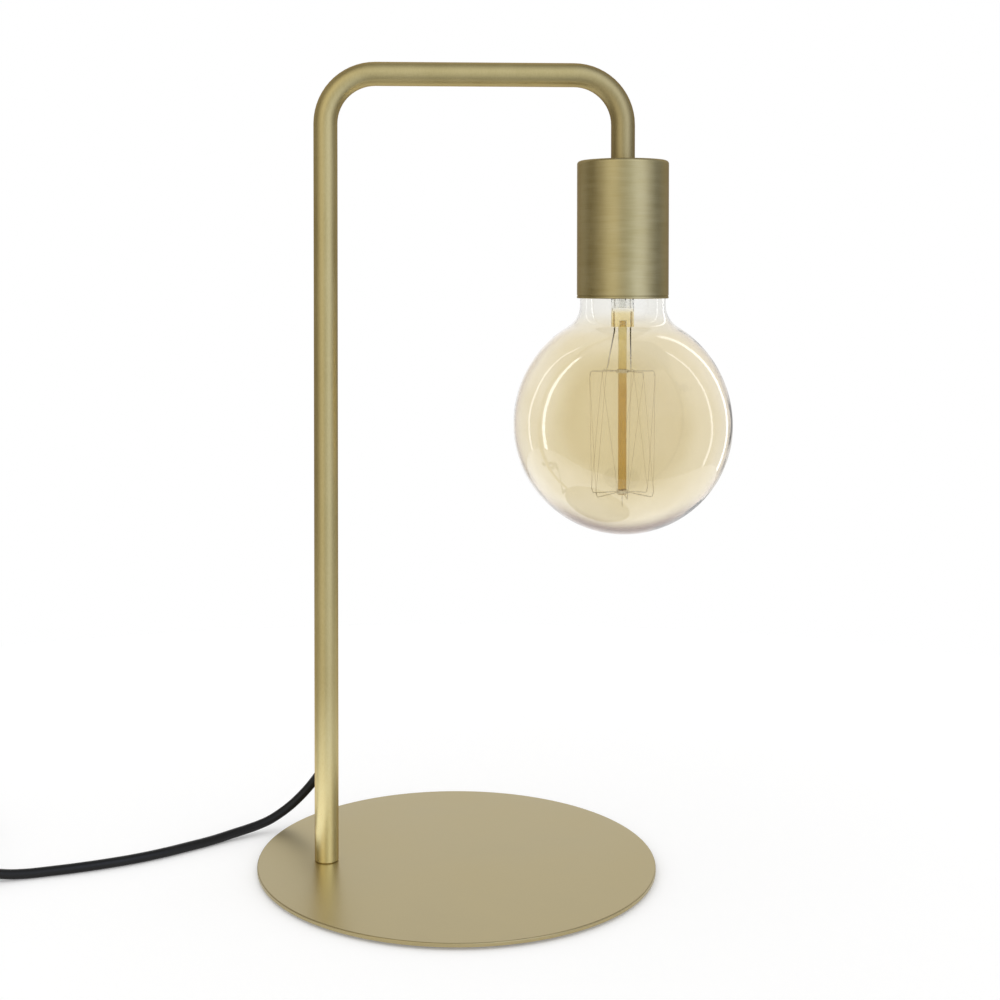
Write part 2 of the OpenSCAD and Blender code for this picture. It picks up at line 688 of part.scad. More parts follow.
module bulb_cap() {
    steps = 10 * thread_turns;
    wave = [for (i = [0:steps]) let (z = i * thread_turns * thread_pitch / steps)
        [cap_r + thread_wave(z), thread_start + z]];
    roof = bulb_top - insulator_h;
    outer = concat([[cap_r, cap_bottom]], wave, [[cap_r, roof - 1.4], [cap_r - 1, roof - 0.4], [9.4, roof]]);
    inner = concat([[9.4, roof - cap_wall], [cap_r - 1.4, roof - 0.4 - cap_wall], [cap_r - cap_wall, roof - 1.8]],
        reversed([for (p = wave) p - [cap_wall, 0]]), [[cap_r - cap_wall, cap_bottom]]);
    color([0.82, 0.74, 0.5]) translate([drop_x, 0, 0]) rotate_extrude() polygon(concat(outer, inner));
}

module cap_insulator() {
    roof = bulb_top - insulator_h;
    color([0.08, 0.08, 0.1]) translate([drop_x, 0, 0]) rotate_extrude()
        polygon([[3, roof - 0.8], [9.3, roof - 0.8], [9.3, roof], [8.8, roof + 0.3],
            [button_r + 0.4, bulb_top - button_h], [3, bulb_top - button_h]]);
}

module cap_contact() {
    r = button_r;
    color([0.75, 0.75, 0.76]) translate([drop_x, 0, bulb_top - button_h]) rotate_extrude()
        polygon([[0, 0], [r, 0], [r, 0.4], [r - 0.5, 0.85], [r - 1.6, button_h], [0, button_h]]);
}

// The mount: a flared glass tube, melted to the neck above and pinched flat below round the lead wires
module glass_stem() {
    flare_r = glass_top_r - glass_wall - 0.1;
    mid = (stem_top + stem_waist) / 2;
    outer = [[flare_r, stem_top], [flare_r - 0.6, stem_top - 2.5], [stem_r + 1.4, mid], [stem_r + 0.2, stem_waist + 1],
        [stem_r, stem_waist], [stem_r, pinch_top]];
    inner = [for (p = reversed(outer)) [p[0] - stem_wall, p[1] + (p[1] == pinch_top ? 2 : 0)]];
    color([0.85, 0.85, 0.8, 0.4]) translate([drop_x, 0, 0]) difference() {
        union() {
            rotate_extrude() polygon(concat([[0, pinch_top]], reversed(outer), reversed(inner), [[0, pinch_top + 2]]));
            translate([0, 0, pinch_bottom]) linear_extrude(pinch_top - pinch_bottom) pinch();
            translate([0, 0, pinch_top + 1]) ring(2, 1.3, cap_bottom + 12 - pinch_top);
        }
        for (side = [-1, 1]) translate([side * lead_x, 0, pinch_bottom - past])
            cylinder(r = lead_r + press_gap, h = pinch_top - pinch_bottom + 4 * past, $fn = 24);
        translate([0, 0, pinch_bottom - past]) cylinder(r = rod_d / 2 + press_gap, h = rod_top - pinch_bottom + past);
    }
}

module pinch() {
    r = pinch_t / 2;
    square([2 * stem_r - pinch_t, pinch_t], center = true);
    for (side = [-1, 1]) translate([side * (stem_r - r), 0]) circle(r);
}

module support_rod() {
    color([0.75, 0.6, 0.3, 0.6]) translate([drop_x, 0, rod_bottom]) cylinder(r = rod_d / 2, h = rod_top - rod_bottom);
}

// Directions of the hooks that hold the filament; the lower ones stand between the upper ones
function hook_angle(i, lower) = 360 * (i + (lower ? 0.5 : 0)) / supports;
function on_circle(r, a, z) = [r * cos(a), r * sin(a), z];

// The end of a lead; both ends flank the place that the upper hooks leave free
function lead_end(i, extra = 0) =
    on_circle(lead_end_r + extra, hook_angle(free_place, false) + lead_turns[i], lead_end_z);

// The leads run down from the cap through the pinch, and slant forwards to where the filament starts and ends
module lead_wires() {
    color([0.5, 0.45, 0.4]) translate([drop_x, 0, 0]) for (i = [0, 1]) {
        side = 2 * i - 1;
        knee = [side * lead_x, 0, pinch_bottom - 0.8];
        rod([side * lead_x, 0, lead_top], knee, lead_r);
        translate(knee) sphere(lead_r + knee_extra, $fn = 24);
        rod(knee, lead_end(i), lead_r);
    }
}

// A collar on the rod and wires that fan out from it at the given places, each with a hooked end. up is 1 or -1,
// the hooks' side, and the wires slope down by the angle lean
module support_fan(z, places, lower, up, lean) {
    color([0.6, 0.55, 0.45]) translate([drop_x, 0, z]) {
        translate([0, 0, -1]) ring(collar_r, rod_d / 2 + press_gap, 2);
        for (i = places) rotate(hook_angle(i, lower)) translate([collar_r - 0.4, 0, 0])
            rotate([0, 90 + lean, 0]) rotate([0, 0, up > 0 ? 180 : 0])
            run([[support_r - hook_bend - collar_r + 0.4], [hook_bend, 90], [hook_l]], support_wire_r, 0, 0, $fn = 24);
    }
}

module upper_supports() {
    support_fan(upper_z, [for (i = [0:supports - 1]) if (i != free_place) i], false, -1, 0);
}

// The lower wires, and a pin out of the rod's end
module lower_supports() {
    support_fan(lower_z, [0:supports - 1], true, 1, lower_lean);
    color([0.6, 0.55, 0.45]) translate([drop_x, 0, rod_bottom - press_gap - pin_below_rod])
        cylinder(r = support_wire_r, h = pin_below_rod, $fn = 24);
}

// Where the filament passes a hook, just outside the middle of its straight end
function hook_side(i, lower) = let (start = collar_r - 0.4, l = support_r - start, rise = hook_bend + hook_l / 2,
        lean = lower ? lower_lean : 0, up = lower ? 1 : -1, out = support_wire_r + filament_r + 0.1)
    on_circle(start + l * cos(lean) + up * rise * sin(lean) + out, hook_angle(i, lower),
        (lower ? lower_z : upper_z) - l * sin(lean) + up * rise * cos(lean));

// The filament starts at one lead, zigzags down and up round the hooks, and ends at the other lead
module filament() {
    beside = lead_r + filament_r + 0.1;
    line = concat([lead_end(0, beside)],
        [for (k = [1:supports - 1]) let (i = (free_place - k + supports) % supports)
            each [hook_side(i, true), hook_side(i, false)]],
        [hook_side(free_place, true), lead_end(1, beside)]);
    color([0.75, 0.5, 0.25]) translate([drop_x, 0, 0]) for (i = [0:len(line) - 2]) {
        rod(line[i], line[i + 1], filament_r);
        translate(line[i]) sphere(filament_r + knee_extra, $fn = 16);
    }
}

// Cord

module cord_lead() {
    color([0.1, 0.1, 0.1]) cord_tube(lead_route, [0, 1, 0], [-1, 0, 0]);
}

module cord_link() {
    color([0.1, 0.1, 0.1]) cord_tube(link_route, [-1, 0, 0], [0, 1, 0]);
}

module cord_tail() {
    color([0.1, 0.1, 0.1]) cord_tube(tail_route, [0, 1, 0], [0, 1, 0]);
}

// The coil's centre line: it arrives on the left, winds clockwise and inwards, climbs in the half turn where
// the spiral reverses, and winds outwards on top until it is on the left again
half_turns_in = 2 * coil_turns_in;
coil_half_turns = half_turns_in + 1 + 2 * coil_turns_out;
function coil_r(t) = t < half_turns_in ? coil_out_r - coil_step * t / 2
    : t < half_turns_in + 1 ? coil_in_r : coil_in_r + coil_step * (t - half_turns_in - 1) / 2;
function coil_z(t) = t < half_turns_in ? layer_low
    : t > half_turns_in + 1 ? layer_high
    : layer_low + (layer_high - layer_low) * (1 - cos(180 * (t - half_turns_in))) / 2;
function coil_point(t) = [coil_centre[0] + coil_r(t) * cos(180 - 180 * t),
    coil_centre[1] + coil_r(t) * sin(180 - 180 * t), coil_z(t)];
coil_steps = coil_half_turns * coil_rings / 2;
coil_turns_line = [for (i = [0:coil_steps]) coil_point(2 * i / coil_rings)];
coil_first = coil_turns_line[0] - [0, cord_d, 0];
coil_last = coil_turns_line[coil_steps] + [0, cord_d, 0];
coil_line = concat([coil_first], coil_turns_line, [coil_last]);
coil_gap = min([for (i = [0:len(coil_line) - 1], j = [i + 1:1:len(coil_line) - 1])
    if (j - i > coil_rings / 3) norm(coil_line[i] - coil_line[j])]) - cord_d;
echo(coil_gap = coil_gap);

module cord_coil() {
    color([0.1, 0.1, 0.1]) cord_tube(coil_line, [0, 1, 0], [0, 1, 0], coil_sides);
}

// A strap round the coil's bundle, on the side away from the switch, with its end folded over on top
module cord_tie() {
    inner_r = coil_in_r + coil_step / 4 - cord_r - tie_gap;
    outer_r = coil_out_r - coil_step / 4 + cord_r + tie_gap;
    low = tie_t;
    high = layer_high + cord_r + tie_gap;
    wide = outer_r - inner_r;
    tall = high - low;
    color([0.15, 0.15, 0.15]) translate([coil_centre[0] - tie_w / 2, coil_centre[1] + (inner_r + outer_r) / 2,
        (low + high) / 2]) rotate([90, 0, 90]) {
        linear_extrude(tie_w) difference() {
            rounded(wide + 2 * tie_t, tall + 2 * tie_t, tie_t + 1.2);
            rounded(wide, tall, 1.2);
        }
        translate([wide / 4, tall / 2 + tie_t, 0]) linear_extrude(tie_w)
            translate([-wide / 4, 0]) square([wide / 2, tie_t]);
    }
}

// Inline switch

// A bar with round corners in plan and round upper edges, standing on z = 0
module bar(l, w, h, plan_r, top_r) {
    intersection() {
        linear_extrude(h) rounded(l, w, plan_r);
        rotate([90, 0, 0]) linear_extrude(w + 2 * past, center = true) arched(l, h, top_r);
        rotate([90, 0, 90]) linear_extrude(l + 2 * past, center = true) arched(w, h, top_r);
    }
}

module arched(w, h, r) {
    translate([-w / 2, -past]) square([w, h - r + past]);
    translate([-w / 2 + r, -past]) square([w - 2 * r, h + past]);
    for (side = [-1, 1]) translate([side * (w / 2 - r), h - r]) circle(r);
}

module switch_place() {
    translate([switch_x, switch_y, 0]) children();
}

module case_body() {
    bar(switch_l, switch_w, switch_h, bar_plan_r, bar_top_r);
}

module case_hollow() {
    t = shell_t;
    translate([0, 0, t]) bar(switch_l - 2 * t, switch_w - 2 * t, switch_h - 2 * t, bar_plan_r - t, bar_top_r - t);
}

module cord_holes() {
    translate([0, 0, split_z]) rotate([0, 90, 0])
        cylinder(r = cord_r + thread_gap, h = switch_l + 2 * past, center = true);
}

module case_post() {
    for (side = [-1, 1]) translate([side * case_screw_x, side * case_screw_y, 0]) children();
}

module switch_base() {
    color([0.12, 0.12, 0.12]) switch_place() difference() {
        union() {
            difference() {
                intersection() {
                    case_body();
                    translate([-switch_l, -switch_w, 0]) cube([2 * switch_l, 2 * switch_w, split_z]);
                }
                case_hollow();
            }
            case_post() cylinder(r = case_post_r, h = split_z - 0.2, $fn = 32);
            for (side = [-1, 1]) translate([side * clamp_x - clamp_t / 2, -7, shell_t - 0.1])
                cube([clamp_t, 14, split_z - shell_t - 0.1]);
        }
        cord_holes();
        case_post() translate([0, 0, -past]) cylinder(r = case_screw_r + 0.15, h = split_z + 2 * past, $fn = 32);
        case_post() translate([0, 0, -past]) cylinder(r = 2.5, h = past + 2.2, $fn = 32);
    }
}

module switch_cover() {
    half = rocker_half + window_gap;
    wide = rocker_w / 2 + window_gap;
    color([0.12, 0.12, 0.12]) switch_place() difference() {
        union() {
            difference() {
                intersection() {
                    case_body();
                    translate([-switch_l, -switch_w, split_z]) cube([2 * switch_l, 2 * switch_w, switch_h]);
                }
                case_hollow();
            }
            for (side = [-1, 1]) translate([-3, side * (wide + cheek_t / 2) - cheek_t / 2, pivot_z - 2.6])
                cube([6, cheek_t, switch_h - shell_t / 2 - pivot_z + 2.6]);
            case_post() translate([0, 0, split_z])
                cylinder(r = case_post_r, h = switch_h - shell_t - split_z + 0.1, $fn = 32);
        }
        translate([-half, -wide, pivot_z - 2]) cube([2 * half, 2 * wide, switch_h]);
        cord_holes();
        translate([0, 0, pivot_z]) rotate([90, 0, 0])
            cylinder(r = pivot_r + pivot_gap, h = 2 * (wide + cheek_t + past), center = true, $fn = 48);
        case_post() translate([0, 0, split_z - past]) cylinder(r = case_screw_r + 0.1, h = 5.5 + past, $fn = 32);
    }
}

// The rocker is drawn level and tipped to its off side, where it rests
module rocker_place() {
    switch_place() translate([0, 0, pivot_z]) rotate([0, -rocker_tip / 2, 0]) children();
}

module switch_rocker() {
    color([0.16, 0.16, 0.16]) rocker_place() {
        rotate([90, 0, 0]) linear_extrude(rocker_w, center = true) intersection() {
            circle(rocker_half);
            polygon([[-9.4, 5.6], [-9.4, 2], [-rocker_hub, -rocker_hub], [rocker_hub, -rocker_hub], [9.4, 2],
                [9.4, 5.6], [4.5, 4.9], [0, 4.6], [-4.5, 4.9]]);
        }
        rotate([90, 0, 0])
            cylinder(r = pivot_r, h = rocker_w + 2 * (window_gap + cheek_t - 0.2), center = true, $fn = 48);
    }
}

module contact_bridge() {
    color([0.8, 0.55, 0.35]) rocker_place() for (side = [-1, 1])
        translate([-blade_half, side * blade_y - blade_w / 2, -rocker_hub - blade_t])
            cube([2 * blade_half, blade_w, blade_t]);
}

// For each pole, a post under the rocker's axis and one under the bridge's end that comes down when it is on.
// A strip on the case's floor joins each post to its terminal
module switch_contacts() {
    low = shell_t;
    drop = rocker_hub + blade_t;
    far_x = blade_half - 0.7;
    middle_top = pivot_z - drop - seat_gap;
    far_top = pivot_z - drop * cos(rocker_tip / 2) - blade_half * sin(rocker_tip / 2) - seat_gap;
    strip_t = 0.6;
    post_t = 1.4;
    color([0.8, 0.68, 0.4]) switch_place() for (side = [-1, 1]) translate([0, side * blade_y, low]) {
        translate([-post_t / 2, -contact_w / 2, 0]) cube([post_t, contact_w, middle_top - low]);
        translate([far_x - post_t / 2, -contact_w / 2, 0]) cube([post_t, contact_w, far_top - low]);
        translate([-pole_terminal_x, -contact_w / 2, 0]) cube([pole_terminal_x, contact_w, strip_t]);
        translate([far_x, -contact_w / 2, 0]) cube([pole_terminal_x - far_x, contact_w, strip_t]);
        for (end = [-1, 1]) translate([end * pole_terminal_x, 0, 0]) difference() {
            translate([-2, -2.2, 0]) cube([4, 4.4, 4.6]);
            translate([0, 0, terminal_bore_z - low]) rotate([0, 90, 0])
                cylinder(r = wire_d / 2 + thread_gap, h = 4 + 2 * past, center = true, $fn = 32);
        }
    }
}

// The cord's cores, fanned out from the end of its sheath and led straight into the terminals
module switch_wires() {
    from_x = switch_l / 2 - cord_in_switch;
    knee_x = pole_terminal_x + 3;
    color([0.45, 0.26, 0.13]) switch_place() for (end = [-1, 1], side = [-1, 1]) {
        a = [end * (from_x - 0.8), side * wire_side, split_z];
        b = [end * knee_x, side * blade_y, terminal_bore_z];
        rod(a, b, wire_d / 2);
        translate(b) sphere(wire_d / 2 + knee_extra, $fn = 32);
        rod(b, [end * (pole_terminal_x - 1.5), side * blade_y, terminal_bore_z], wire_d / 2);
    }
}

module switch_screws() {
    color([0.7, 0.7, 0.72]) switch_place() case_post() difference() {
        union() {
            translate([0, 0, 0.6]) cylinder(r = 2.3, h = 1.6, $fn = 32);
            translate([0, 0, 2.2]) cylinder(r = case_screw_r, h = split_z + 5 - 2.2, $fn = 32);
        }
        translate([0, 0, 0.4]) for (a = [0, 90]) rotate(a) translate([-1.3, -0.3, 0]) cube([2.6, 0.6, 1.1]);
    }
}

// Clamps that press the cord's sheath onto ribs in the base
module cord_clamps() {
    color([0.85, 0.85, 0.82]) switch_place() for (side = [-1, 1]) translate([side * clamp_x, 0, split_z])
        difference() {
            translate([-clamp_t / 2, -6.5, 0.1]) cube([clamp_t, 13, cord_r + 1.3]);
            rotate([0, 90, 0]) cylinder(r = cord_r + thread_gap, h = clamp_t + 2 * past, center = true);
        }
}

// Plug

// A shape that is the same on both sides: its right half's points, and their mirror image
function both_sides(half) = concat(half, reversed([for (p = half) [-p[0], p[1]]]));

// The grip is where three outlines meet: a flat front with slanted corners, a top view that narrows to the cord,
// and a side view that does the same. The face with the pins is on z = 0, and the cord leaves upwards
module plug_grip() {
    w = plug_w / 2;
    t = plug_t / 2;
    l = plug_front_l + plug_grip_l;
    linear_extrude(l) polygon(softened(both_sides([[w - 6, -t], [w, -2.4], [w, 2.4], [w - 6, t]]), 1.6));
}

module plug_top_view() {
    w = plug_w / 2;
    rotate([90, 0, 0]) linear_extrude(plug_t + past, center = true) polygon(softened(both_sides(
        [[w, 0], [w, plug_front_l], [plug_neck_w / 2, plug_front_l + plug_grip_l]]), 1.5));
}

module plug_side_view() {
    t = plug_t / 2;
    rotate([90, 0, 90]) linear_extrude(plug_w + past, center = true) polygon(softened(both_sides(
        [[t, 0], [t, plug_front_l], [plug_neck_t / 2, plug_front_l + plug_grip_l]]), 1.2));
}

module plug_body() {
    nose_r = cord_r + 2.2;
    tip_r = cord_r + 0.9;
    pin_sides = [-pin_spacing / 2, pin_spacing / 2];
    color([0.1, 0.1, 0.1]) translate([plug_x, plug_face_y, plug_z]) rotate([90, 0, 0]) difference() {
        union() {
            intersection() {
                plug_grip();
                plug_top_view();
                plug_side_view();
            }
            translate([0, 0, plug_front_l + plug_grip_l]) rotate_extrude() polygon(plug_nose(nose_r, tip_r));
            for (x = pin_sides) translate([x, 0, -sleeve_l]) cylinder(r = sleeve_d / 2, h = sleeve_l + past, $fn = 48);
        }
        for (x = pin_sides) translate([x, 0, -sleeve_l - past])
            cylinder(r = pin_core_d / 2 + press_gap, h = sleeve_l + past + pin_rooted, $fn = 48);
        translate([0, 0, plug_front_l + plug_grip_l]) cylinder(r = cord_r + thread_gap, h = plug_nose_l + past);
    }
}

// The plug's tapered nose, with three grooves that let it flex
function plug_nose(a, b) = let (step = plug_nose_l / 7)
    concat([[0, -past], [a, -past], [a, 0]],
        [for (i = [0:2]) let (z = step * (2 * i + 1), r = a + (b - a) * z / plug_nose_l)
            each [[r, z], [r - 0.6, z + 0.2], [r - 0.6, z + step - 0.2], [r, z + step]]],
        [[b, plug_nose_l], [0, plug_nose_l]]);

module plug_pins() {
    r = pin_d / 2;
    color([0.8, 0.8, 0.82]) translate([plug_x, plug_face_y, plug_z]) rotate([-90, 0, 0])
        for (x = [-pin_spacing / 2, pin_spacing / 2]) translate([x, 0, 0]) rotate_extrude($fn = 48)
            polygon(concat([[0, -pin_rooted + 0.3], [pin_core_d / 2, -pin_rooted + 0.3], [pin_core_d / 2, sleeve_l],
                [r, sleeve_l], [r, pin_l - 0.8]], arc([r - 0.8, pin_l - 0.8], 0.8, 0, 90, 4), [[0, pin_l]]));
}

base_plate();
base_pad();
foot_screw();
foot_plug();
stem_tube();
strain_relief();
cord_entry();
live_wire();
neutral_wire();
threaded_nipple();
lamp_cup();
toothed_washer();
lock_nut();
holder_dome();
holder_skirt();
holder_core();
screw_shell();
centre_contact();
terminal_blocks();
terminal_screws();
contact_rivets();
bulb_glass();
bulb_cap();
cap_insulator();
cap_contact();
glass_stem();
support_rod();
lead_wires();
upper_supports();
lower_supports();
filament();
cord_lead();
cord_link();
cord_coil();
cord_tail();
cord_tie();
switch_base();
switch_cover();
switch_rocker();
contact_bridge();
switch_contacts();
switch_wires();
switch_screws();
cord_clamps();
plug_body();
plug_pins();
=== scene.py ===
import json
import math

import bmesh
import bpy
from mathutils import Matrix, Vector


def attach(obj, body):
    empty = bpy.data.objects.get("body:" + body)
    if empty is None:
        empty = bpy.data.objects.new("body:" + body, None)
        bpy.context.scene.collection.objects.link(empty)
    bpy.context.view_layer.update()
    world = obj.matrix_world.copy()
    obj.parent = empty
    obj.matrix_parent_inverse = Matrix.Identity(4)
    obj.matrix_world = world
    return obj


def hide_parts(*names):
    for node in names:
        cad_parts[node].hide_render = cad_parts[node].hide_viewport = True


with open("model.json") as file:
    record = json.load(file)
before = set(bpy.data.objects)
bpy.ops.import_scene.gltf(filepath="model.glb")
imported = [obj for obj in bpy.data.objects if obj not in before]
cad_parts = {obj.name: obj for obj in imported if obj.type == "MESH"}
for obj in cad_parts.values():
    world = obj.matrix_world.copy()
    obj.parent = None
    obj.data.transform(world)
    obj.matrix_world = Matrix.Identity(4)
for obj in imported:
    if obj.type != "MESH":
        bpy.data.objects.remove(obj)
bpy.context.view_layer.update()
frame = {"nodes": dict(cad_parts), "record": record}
nodes = frame["nodes"]

MM_PER_METRE = 1000


def add_object(name, data):
    thing = bpy.data.objects.new(name, data)
    bpy.context.scene.collection.objects.link(thing)
    return thing


# Camera: nearly level, so that the pole stays upright, with the lamp's foot brought into view by the shift
LENS = 55.0
SENSOR_WIDTH = 36.0
SHIFT_X = 0.0442
SHIFT_Y = -0.1906
CAMERA_PLACE = (-0.0413, -0.8311, 0.3217)
CAMERA_TILT = 88.8
CAMERA_TURN = -2.82


def make_camera():
    data = bpy.data.cameras.new("camera")
    data.lens = LENS
    data.sensor_width = SENSOR_WIDTH
    data.shift_x = SHIFT_X
    data.shift_y = SHIFT_Y
    camera = add_object("camera", data)
    camera.location = CAMERA_PLACE
    camera.rotation_euler = (math.radians(CAMERA_TILT), 0.0, math.radians(CAMERA_TURN))
    bpy.context.scene.camera = camera


make_camera()


# Cords: the routes in millimetres, each from where the cord leaves one piece to where it reaches the next
CORD_D = 0.0052
CORD_ROUND_STEPS = 5
CORD_LONG_STEPS = 5
LEAD = [
    (-71, 30, 48.5), (-71, 36.5, 47.7), (-72.2, 43.5, 44.3), (-73.8, 49.3, 40.2), (-76.1, 53.6, 35.1),
    (-79.5, 56.5, 29.5), (-83.5, 58.4, 24), (-88.5, 58.8, 18.5), (-94, 58.2, 13.6), (-100, 56.2, 9.7),
    (-106, 53.6, 6.8), (-112.5, 50.5, 5), (-119, 46.8, 4), (-125.5, 42.6, 3.4), (-131.5, 38.4, 2.9),
    (-137.5, 34, 2.6), (-150, 25, 2.6), (-162.5, 16.6, 2.6), (-175.8, 9.2, 2.6), (-190, 3, 2.6),
    (-204.5, -2.2, 2.6), (-219, -6.5, 2.6), (-233, -10, 2.7), (-243, -12, 3.6), (-251, -13.3, 5.3),
    (-258, -13.9, 7.2), (-264, -14, 8.3), (-268, -14, 8.5),
]
LINK = [
    (-330, -14, 8.5), (-336, -14, 8.3), (-342.6, -13.1, 7.3), (-348.8, -10.6, 6.1), (-354.1, -6.5, 5.1),
    (-358.2, -1.2, 4.3), (-360.7, 5, 3.9), (-361.6, 11.6, 3.9), (-361.6, 25, 3.9), (-361.6, 39.8, 3.9),
]
TAIL = [
    (-358.3, 50.2, 9.6), (-358.3, 61, 9.6), (-358.1, 67, 9.5), (-357, 74, 9.1), (-354.9, 81, 8.5),
    (-352.2, 88, 7.8), (-349.8, 94.5, 7.2), (-348.5, 99.2, 6.95), (-348, 103.2, 6.9),
]
COIL_CENTRE = (-318, 45)
COIL_MID_R = 32.05
COIL_STEP = 6.6
COIL_TURNS_IN = 3.5
COIL_TURNS_OUT = 3
COIL_LOW = 3.9
COIL_HIGH = 9.6
COIL_POINTS = 24


def coil_points():
    """Two layers: inwards below, a climb in the half turn where the spiral reverses, and outwards above."""
    outer = COIL_MID_R + COIL_STEP * COIL_TURNS_IN / 2
    inner = COIL_MID_R - COIL_STEP * COIL_TURNS_IN / 2
    half_in = 2 * COIL_TURNS_IN
    steps = int((half_in + 1 + 2 * COIL_TURNS_OUT) * COIL_POINTS / 2)
    points = []
    for i in range(steps + 1):
        t = 2 * i / COIL_POINTS
        if t < half_in:
            r = outer - COIL_STEP * t / 2
            z = COIL_LOW
        elif t < half_in + 1:
            r = inner
            z = COIL_LOW + (COIL_HIGH - COIL_LOW) * (1 - math.cos(math.pi * (t - half_in))) / 2
        else:
            r = inner + COIL_STEP * (t - half_in - 1) / 2
            z = COIL_HIGH
        a = math.pi * (1 - t)
        points.append((COIL_CENTRE[0] + r * math.cos(a), COIL_CENTRE[1] + r * math.sin(a), z))
    return points


def metres(points):
    return [tuple(c / MM_PER_METRE for c in p) for p in points]


def cord_curve(name, points):
    """A round curve. Its radius is set at its points, because Blender's box of it reaches out by that."""
    data = bpy.data.curves.new(name, "CURVE")
    data.dimensions = "3D"
    data.bevel_depth = 1.0
    data.bevel_resolution = CORD_ROUND_STEPS
    data.resolution_u = CORD_LONG_STEPS
    data.use_fill_caps = True
    spline = data.splines.new("BEZIER")
    spline.bezier_points.add(len(points) - 1)
    for knot, point in zip(spline.bezier_points, points):
        knot.co = point
        knot.radius = CORD_D / 2
        knot.handle_left_type = "AUTO"
        knot.handle_right_type = "AUTO"
    piece = add_object(name, data)
    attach(piece, "lamp")
    return piece


def make_cords():
    lead = metres(LEAD)
    rest = metres(LINK + coil_points() + TAIL)
    first = cord_curve("mains_cord_lead", lead)
    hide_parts("cord_lead")
    second = cord_curve("mains_cord_coil", rest)
    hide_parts("cord_link", "cord_coil", "cord_tail")
    return first, second


cords = make_cords()


# The bulb's glass, in millimetres: the CAD outline on finer steps, because clear glass shows each facet
GLOBE_R = 59.7
GLOBE_RISE = 2.3
GLOBE_Z = 241.05
NECK_R = 23.4
NECK_FILLET = 14
SHOULDER_R = 7
SHOULDER_Z = 315.65
SHOULDER_TURN = 80
SHOULDER_RISE = 0.2
GLASS_TOP_R = 12.6
GLASS_TOP = 326.65
GLASS_WALL = 1
BULB_X = 91.1
AROUND_STEPS = 144
LOWER_STEPS = 72
UPPER_STEPS = 60
FILLET_STEPS = 16
SHOULDER_STEPS = 10

# The fillet's start on the globe is found between two angles, by halving
SEARCH_LOW = 5
SEARCH_HIGH = 85
SEARCH_ROUNDS = 40

# A ring with a smaller radius than this is one point on the axis
AXIS_R = 0.001


def arc(centre, radius, start, end, steps):
    turns = [math.radians(start + (end - start) * i / steps) for i in range(steps + 1)]
    return [(centre[0] + radius * math.cos(a), centre[1] + radius * math.sin(a)) for a in turns]


def oval_normal(a, r, up):
    x = up * math.cos(a)
    y = r * math.sin(a)
    size = math.hypot(x, y)
    return x / size, y / size


def fillet_start(r, up, fillet, neck):
    low = math.radians(SEARCH_LOW)
    high = math.radians(SEARCH_HIGH)
    for _ in range(SEARCH_ROUNDS):
        a = (low + high) / 2
        if r * math.cos(a) + fillet * oval_normal(a, r, up)[0] > neck + fillet:
            low = a
        else:
            high = a
    return a


def glass_outline(inset):
    """Half of the outline, from the globe's bottom over the neck's fillet and shoulder to the top."""
    r = GLOBE_R - inset
    up = GLOBE_R + GLOBE_RISE - inset
    fillet = NECK_FILLET + inset
    neck = NECK_R - inset
    shoulder = SHOULDER_R - inset
    top = GLASS_TOP_R - inset
    last = fillet_start(r, up, fillet, neck)
    turns = [last * i / UPPER_STEPS for i in range(1, UPPER_STEPS + 1)]
    oval = [(r * math.cos(a), GLOBE_Z + up * math.sin(a)) for a in turns]
    out = oval_normal(last, r, up)
    middle = (oval[-1][0] + fillet * out[0], oval[-1][1] + fillet * out[1])
    start = 180 + math.degrees(math.atan2(out[1], out[0]))
    return (arc((0, GLOBE_Z), r, -90, 0, LOWER_STEPS)
            + oval
            + arc(middle, fillet, start, 180, FILLET_STEPS)[1:]
            + arc((neck - shoulder, SHOULDER_Z), shoulder, 0, SHOULDER_TURN, SHOULDER_STEPS)
            + [(top, SHOULDER_Z + shoulder + SHOULDER_RISE), (top, GLASS_TOP)])


def lathe(name, outline, steps):
    """Turns an outline, which starts and ends on the bulb's axis, round that axis."""
    mesh = bmesh.new()
    turns = [math.tau * i / steps for i in range(steps)]
    rings = []
    for radius, height in outline:
        if radius < AXIS_R:
            places = [(BULB_X, 0, height)]
        else:
            places = [(BULB_X + radius * math.cos(a), radius * math.sin(a), height) for a in turns]
        rings.append([mesh.verts.new(place) for place in metres(places)])
    for first, second in zip(rings, rings[1:]):
        for i in range(steps):
            j = (i + 1) % steps
            corners = [first[i % len(first)], first[j % len(first)],
                       second[j % len(second)], second[i % len(second)]]
            mesh.faces.new(list(dict.fromkeys(corners)))
    for face in mesh.faces:
        face.smooth = True
    bmesh.ops.recalc_face_normals(mesh, faces=mesh.faces)
    data = bpy.data.meshes.new(name)
    mesh.to_mesh(data)
    mesh.free()
    return add_object(name, data)


def make_glass():
    outline = glass_outline(0) + list(reversed(glass_outline(GLASS_WALL)))
    glass = lathe("blown_glass", outline, AROUND_STEPS)
    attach(glass, "bulb")
    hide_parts("bulb_glass")
    return glass


glass = make_glass()


# Node helpers
NOISE_LOW = 0.3
NOISE_HIGH = 0.7
BLACK = (0.0, 0.0, 0.0)
WHITE = (1.0, 1.0, 1.0)

# A Mix node repeats its socket names for each kind of data, so its colour sockets go by place
MIX_FACTOR = 0
MIX_FIRST = 6
MIX_SECOND = 7
MIX_RESULT = 2


def opaque(colour):
    return (*colour, 1.0)


def new_material(name):
    material = bpy.data.materials.new(name)
    material.use_nodes = True
    tree = material.node_tree
    tree.nodes.clear()
    output = tree.nodes.new("ShaderNodeOutputMaterial")
    shader = tree.nodes.new("ShaderNodeBsdfPrincipled")
    tree.links.new(shader.outputs["BSDF"], output.inputs["Surface"])
    return material, tree, shader


